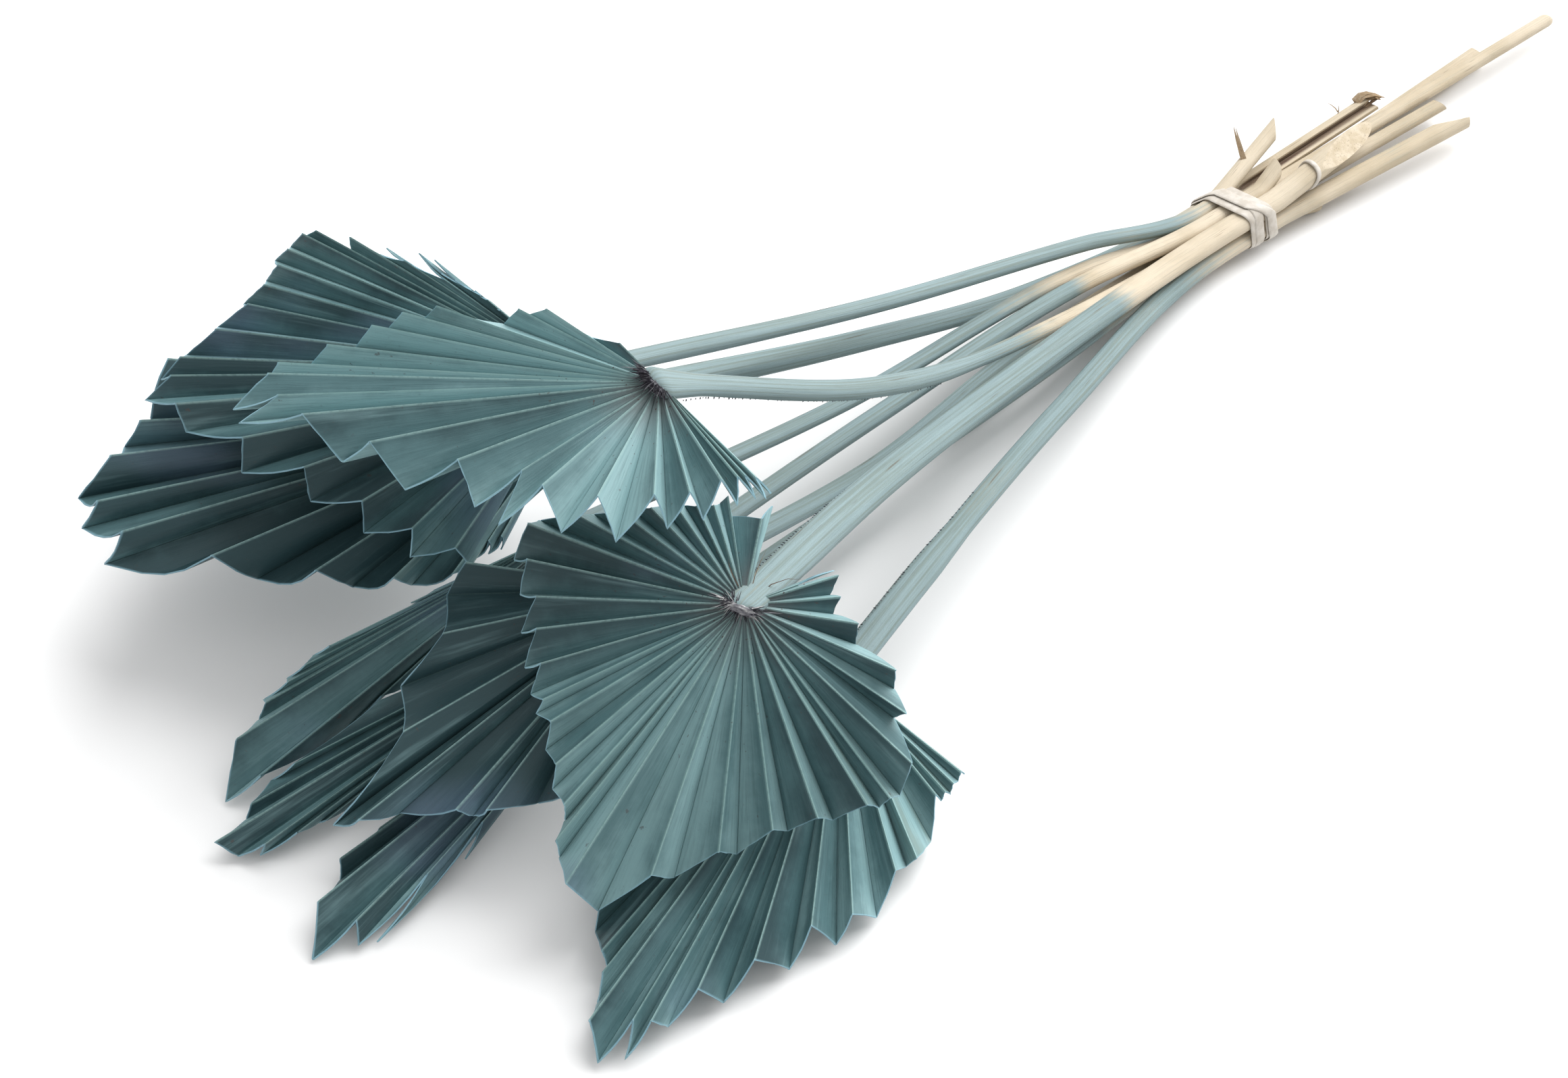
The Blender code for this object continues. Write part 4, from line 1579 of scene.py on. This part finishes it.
@dataclass
class HubKnot:
    """The fuzzy knot where a blade's folds run together at its stalk, ringed by torn fibres."""

    blade: PleatedBlade
    stalk: Stalk
    fibres: int = 120
    depth: float = 0.85
    lumps: float = 0.28
    grit: float = 0.12
    top_light: float = 0.15
    patches: float = 0.6
    stray: float = 0.15
    stray_reach: float = 1.6
    tones: tuple[float, ...] = (0.0, 0.05, 0.15, 0.4, 0.8)
    sharpest: float = 60
    out: Vector = field(init=False)
    across: Vector = field(init=False)
    above: Vector = field(init=False)
    half: float = field(init=False)
    centre: Vector = field(init=False)

    def __post_init__(self) -> None:
        """Finds the knot's middle, its half width and the three ways it is laid along."""
        leaf = self.blade.leaf
        self.out = -self.stalk.path.slopes[0].normalized()
        self.across = self.out.cross(Vector((0, 0, 1))).normalized()
        self.above = self.across.cross(self.out)
        self.half = 0.5 * self.stalk.width * (leaf.girth * leaf.swell[0][1])
        self.centre = self.blade.fan.hub + self.out * (self.depth * self.stalk.head_reach)

    def mound(self) -> Piece:
        """Models the lumpy mound.

        Returns:
            The mound.
        """
        leaf, half = self.blade.leaf, self.half
        bpy.ops.object.select_all(action="DESELECT")
        bpy.ops.mesh.primitive_ico_sphere_add(subdivisions=4, radius=1.0)
        mound = bpy.context.active_object
        moved = Vector((leaf.seed, 0, 0))
        tones = []
        for vertex in mound.data.vertices:
            at = vertex.co.copy()
            rough = 1 + self.lumps * noise.noise(at * 3.1 + moved) + self.grit * noise.noise(at * 9)
            place = self.across * (at.x * half * 0.96) + self.out * (at.y * 1.1)
            place += self.above * (at.z * min(1.3, 0.3 * half))
            vertex.co = (self.centre + place * rough - ORIGIN) * MM
            tones.append(min(1.0, leaf.knot + self.top_light * at.z + self.patches * noise.noise(at * 2.3)))
        Workbench.paint(mound, "tone", np.array(tones))
        Workbench.smooth(mound, self.sharpest)
        return mound

    def tuft(self) -> Piece:
        """Models the torn fibres round it.

        Returns:
            The fibres.
        """
        fan, leaf, across = self.blade.fan, self.blade.leaf, self.across
        draw = random.Random(70 + leaf.seed)
        spikes = []
        for _ in range(self.fibres):
            angle = draw.uniform(0.02, 0.98) * fan.spread
            way, up = fan.direction(angle), fan.normal(angle)
            if up.z < 0:
                up = -up
            root = self.centre + across * (way.dot(across) * draw.uniform(0.3, 0.95) * self.half)
            root = root + way * draw.uniform(0.0, 1.2) + self.above * draw.uniform(0.1, 0.3) * self.half
            reach = draw.uniform(1.5, 4.5) * (self.stray_reach if draw.random() < self.stray else 1.0)
            bend = up * draw.uniform(0.2, 1.4) + across * draw.uniform(-0.8, 0.8)
            tip = root + way * reach + up * draw.uniform(-0.1, 0.9) + across * draw.uniform(-1.0, 1.0)
            tone = draw.choice(self.tones) * (0.4 + 1.4 * leaf.knot)
            spikes.append((root, root.lerp(tip, 0.5) + bend * 0.6, tip, draw.uniform(0.08, 0.2), tone))
        return Workbench.spikes(f"{leaf.name}_tuft", spikes)

    def build(self, material: Finish) -> Piece:
        """Models the mound and its fibres and dresses them."""
        piece = Workbench.join(f"{self.blade.leaf.name}_hub_knot", [self.mound(), self.tuft()])
        return Workbench.finish(piece, Slot.STALK, [material])


@dataclass(frozen=True)
class Strand:
    """One closed strand of the band.

    Attributes:
        name: The piece's name.
        shift: Where it lies along the bundle, in millimetres.
        lean: How far it strays along the bundle as it goes round.
        phase: Where round the bundle it strays furthest, in half turns.
        lift: How far it lies over the strands under it.
        size: Its width and thickness.
    """

    name: str
    shift: float
    lean: float
    phase: float
    lift: float = 0.0
    size: tuple[float, float] = (4.2, 0.6)


@dataclass
class RubberBand:
    """The tie: flat strands of one stretched band that cross each other, and its hooked end."""

    stalks: list[Stalk]
    strands: tuple[Strand, ...] = (
        Strand("band_strand_1", -4.0, 0.8, 1.1),
        Strand("band_strand_2", -0.5, -1.2, 1.0, 0.3),
        Strand("band_strand_3", 3.2, 0.9, 1.15),
        Strand("band_strand_4", 0.6, 4.4, 1.1, 0.7),
    )
    hooked_end: Strand = Strand("band_hooked_end", 29.0, 2.2, 0.3, size=(1.9, 0.8))
    hooked_on: str = "leaf_4"
    clearance: float = 0.1
    floor_gap: float = 0.05
    steps: int = 72
    section: int = 12
    waver: float = 0.25
    squareness: tuple[float, float] = (0.6, 0.8)
    fibre_steps: tuple[float, float] = (0.5, 0.6)
    sharpest: float = 60

    def outline(self, turn: float, stalks: list[Stalk], share: float = -1.0) -> Vector:
        """Where a taut loop passes in one direction from the bundle's middle.

        Args:
            turn: The direction, as an angle.
            stalks: What the loop goes round.
            share: How far along the free end it lies, or -1 at the tie.

        Returns:
            The place across the bundle.
        """
        out = Vector((math.cos(turn), math.sin(turn)))
        touches = []
        for stalk in stalks:
            girth = stalk.leaf.girth
            wide, high = girth * stalk.width / 2, girth * stalk.height / 2
            reach = math.hypot(out.x * wide, out.y * high)
            slot = Vector(stalk.leaf.slot)
            if share >= 0:
                slot = slot.lerp(Vector(stalk.leaf.end[1:]), share)
            touches.append(slot + Vector((out.x * wide**2, out.y * high**2)) / reach)
        return max(touches, key=lambda p: p.dot(out))

    def loop(self, strand: Strand, stalks: list[Stalk], share: float = -1.0) -> Piece:
        """Models one strand.

        Args:
            strand: Its name, course and size.
            stalks: What it goes round.
            share: How far along the free end it lies, or -1 at the tie.

        Returns:
            The strand.
        """
        rows, section = self.steps, self.section
        points = np.empty((rows + 1, section + 1, 3))
        fibres = np.empty((rows + 1, section + 1, 2))
        for i in range(rows + 1):
            turn = 2 * math.pi * (i % rows) / rows
            out = Vector((math.cos(turn), math.sin(turn)))
            proud = self.clearance + strand.size[1] / 2 + strand.lift
            rest = self.outline(turn, stalks, share) + out * proud
            x = strand.shift + strand.lean * math.cos(turn - strand.phase * math.pi)
            x = x + self.waver * math.sin(3 * turn + strand.phase)
            for k in range(section + 1):
                around = 2 * math.pi * (k % section) / section
                ways = math.cos(around), math.sin(around)
                flat, thick = (
                    math.copysign(abs(way) ** power, way) * size / 2
                    for way, power, size in zip(ways, self.squareness, strand.size)
                )
                place = rest + out * thick
                points[i, k] = (x + flat, place.x, max(place.y, self.floor_gap))
                fibres[i, k] = (k * self.fibre_steps[0], i * self.fibre_steps[1])
        piece = Workbench.grid(strand.name, points, fibres)
        Workbench.close_tube(piece)
        Workbench.smooth(piece, self.sharpest)
        return piece

    def build(self, material: Finish) -> list[Piece]:
        """Models the strands and the hooked end and dresses them.

        Args:
            material: The band's finish.

        Returns:
            The strands and the hooked end.
        """
        made = []
        for strand in self.strands:
            nodes = () if made else ("rubber_band",)
            made.append(Workbench.finish(self.loop(strand, self.stalks), Slot.RUBBER, [material], nodes))
        big = next(stalk for stalk in self.stalks if stalk.leaf.name == self.hooked_on)
        share = (self.hooked_end.shift - big.tie_half) / (big.leaf.end[0] - big.tie_half)
        hook = self.loop(self.hooked_end, [big], share)
        made.append(Workbench.finish(hook, Slot.RUBBER, [material], ("rubber_band_end",)))
        return made


@dataclass(frozen=True)
class Studio:
    """A plain pale floor and soft light, mostly from above."""

    floor: Colour = (0.86, 0.86, 0.86)
    floor_size: float = 40.0
    floor_roughness: float = 0.9
    white: Colour = (1.0, 1.0, 1.0)
    zenith: float = 0.95
    horizon: float = 0.45
    key: float = 4.2
    key_side: tuple[float, float, float] = (0.77, 0.12, 0.72)
    softness: float = 60.0

    def sky(self) -> bpy.types.World:
        """Makes a white sky that is brightest overhead.

        Returns:
            The world.
        """
        world = bpy.data.worlds.new("soft_sky")
        world.use_nodes = True
        tree = world.node_tree
        split = tree.nodes.new("ShaderNodeSeparateXYZ")
        slope = tree.nodes.new("ShaderNodeMapRange")
        slope.inputs["To Min"].default_value = self.horizon
        slope.inputs["To Max"].default_value = self.zenith
        tree.links.new(tree.nodes.new("ShaderNodeTexCoord").outputs["Generated"], split.inputs["Vector"])
        tree.links.new(split.outputs["Z"], slope.inputs["Value"])
        tree.links.new(slope.outputs["Result"], tree.nodes["Background"].inputs["Strength"])
        tree.nodes["Background"].inputs["Color"].default_value = (*self.white, 1.0)
        return world

    def build(self) -> None:
        """Adds the floor, the sky and the light."""
        bpy.ops.mesh.primitive_plane_add(size=self.floor_size)
        floor = bpy.context.active_object
        floor.name = "floor"
        floor.data.materials.append(NodeSheet("pale_floor").coat(self.floor, self.floor_roughness))
        bpy.context.scene.world = self.sky()
        place = Vector(self.key_side)
        bpy.ops.object.light_add(type="SUN", location=place)
        lamp = bpy.context.active_object
        lamp.name = "key_light"
        lamp.data.angle = math.radians(self.softness)
        lamp.data.energy = self.key
        lamp.rotation_mode = "QUATERNION"
        lamp.rotation_quaternion = (-place).to_track_quat("-Z", "Y")


def main() -> None:
    """Builds the camera, the leaves, the tie and the studio."""
    logging.basicConfig(level=logging.INFO, format="%(message)s")
    view = Viewpoint()
    view.build()
    blade_finish, stalk_finish = DyedBlade(), DyedStalk()
    fibre, pith = TornFibre().build("torn_hub_fibre"), stalk_finish.cut()
    straw_fibre = TornFibre(dark=(0.10, 0.055, 0.035), middle=(0.33, 0.24, 0.15), pale=(0.52, 0.44, 0.34))
    straw = straw_fibre.build("torn_straw")
    stalks = {}
    for leaf in LEAVES:
        blade = PleatedBlade(leaf, view)
        blade.build(blade_finish.build(f"{leaf.name}_blade_finish", leaf.shade, leaf.seed))
        stalk = stalks[leaf.name] = Stalk(leaf, view)
        stalk.build([stalk_finish.build(f"{leaf.name}_stalk_finish", leaf.paleness, leaf.seed), pith])
        HubKnot(blade, stalk).build(fibre)
    for name, low, high, side in SAW_TEETH:
        stalks[name].spine(fibre, low, high, side)
    for name, piece, slivers in SLIVERS:
        made = [stalks[name].sliver(pixels, width, tone) for pixels, width, tone in slivers]
        Workbench.finish(Workbench.spikes(f"{name}_{piece}", made), Slot.STALK, [straw])
    RubberBand(list(stalks.values())).build(NaturalRubber().build())
    Studio().build()
    bpy.context.scene.view_settings.view_transform = "Standard"


if __name__ == "__main__":
    main()
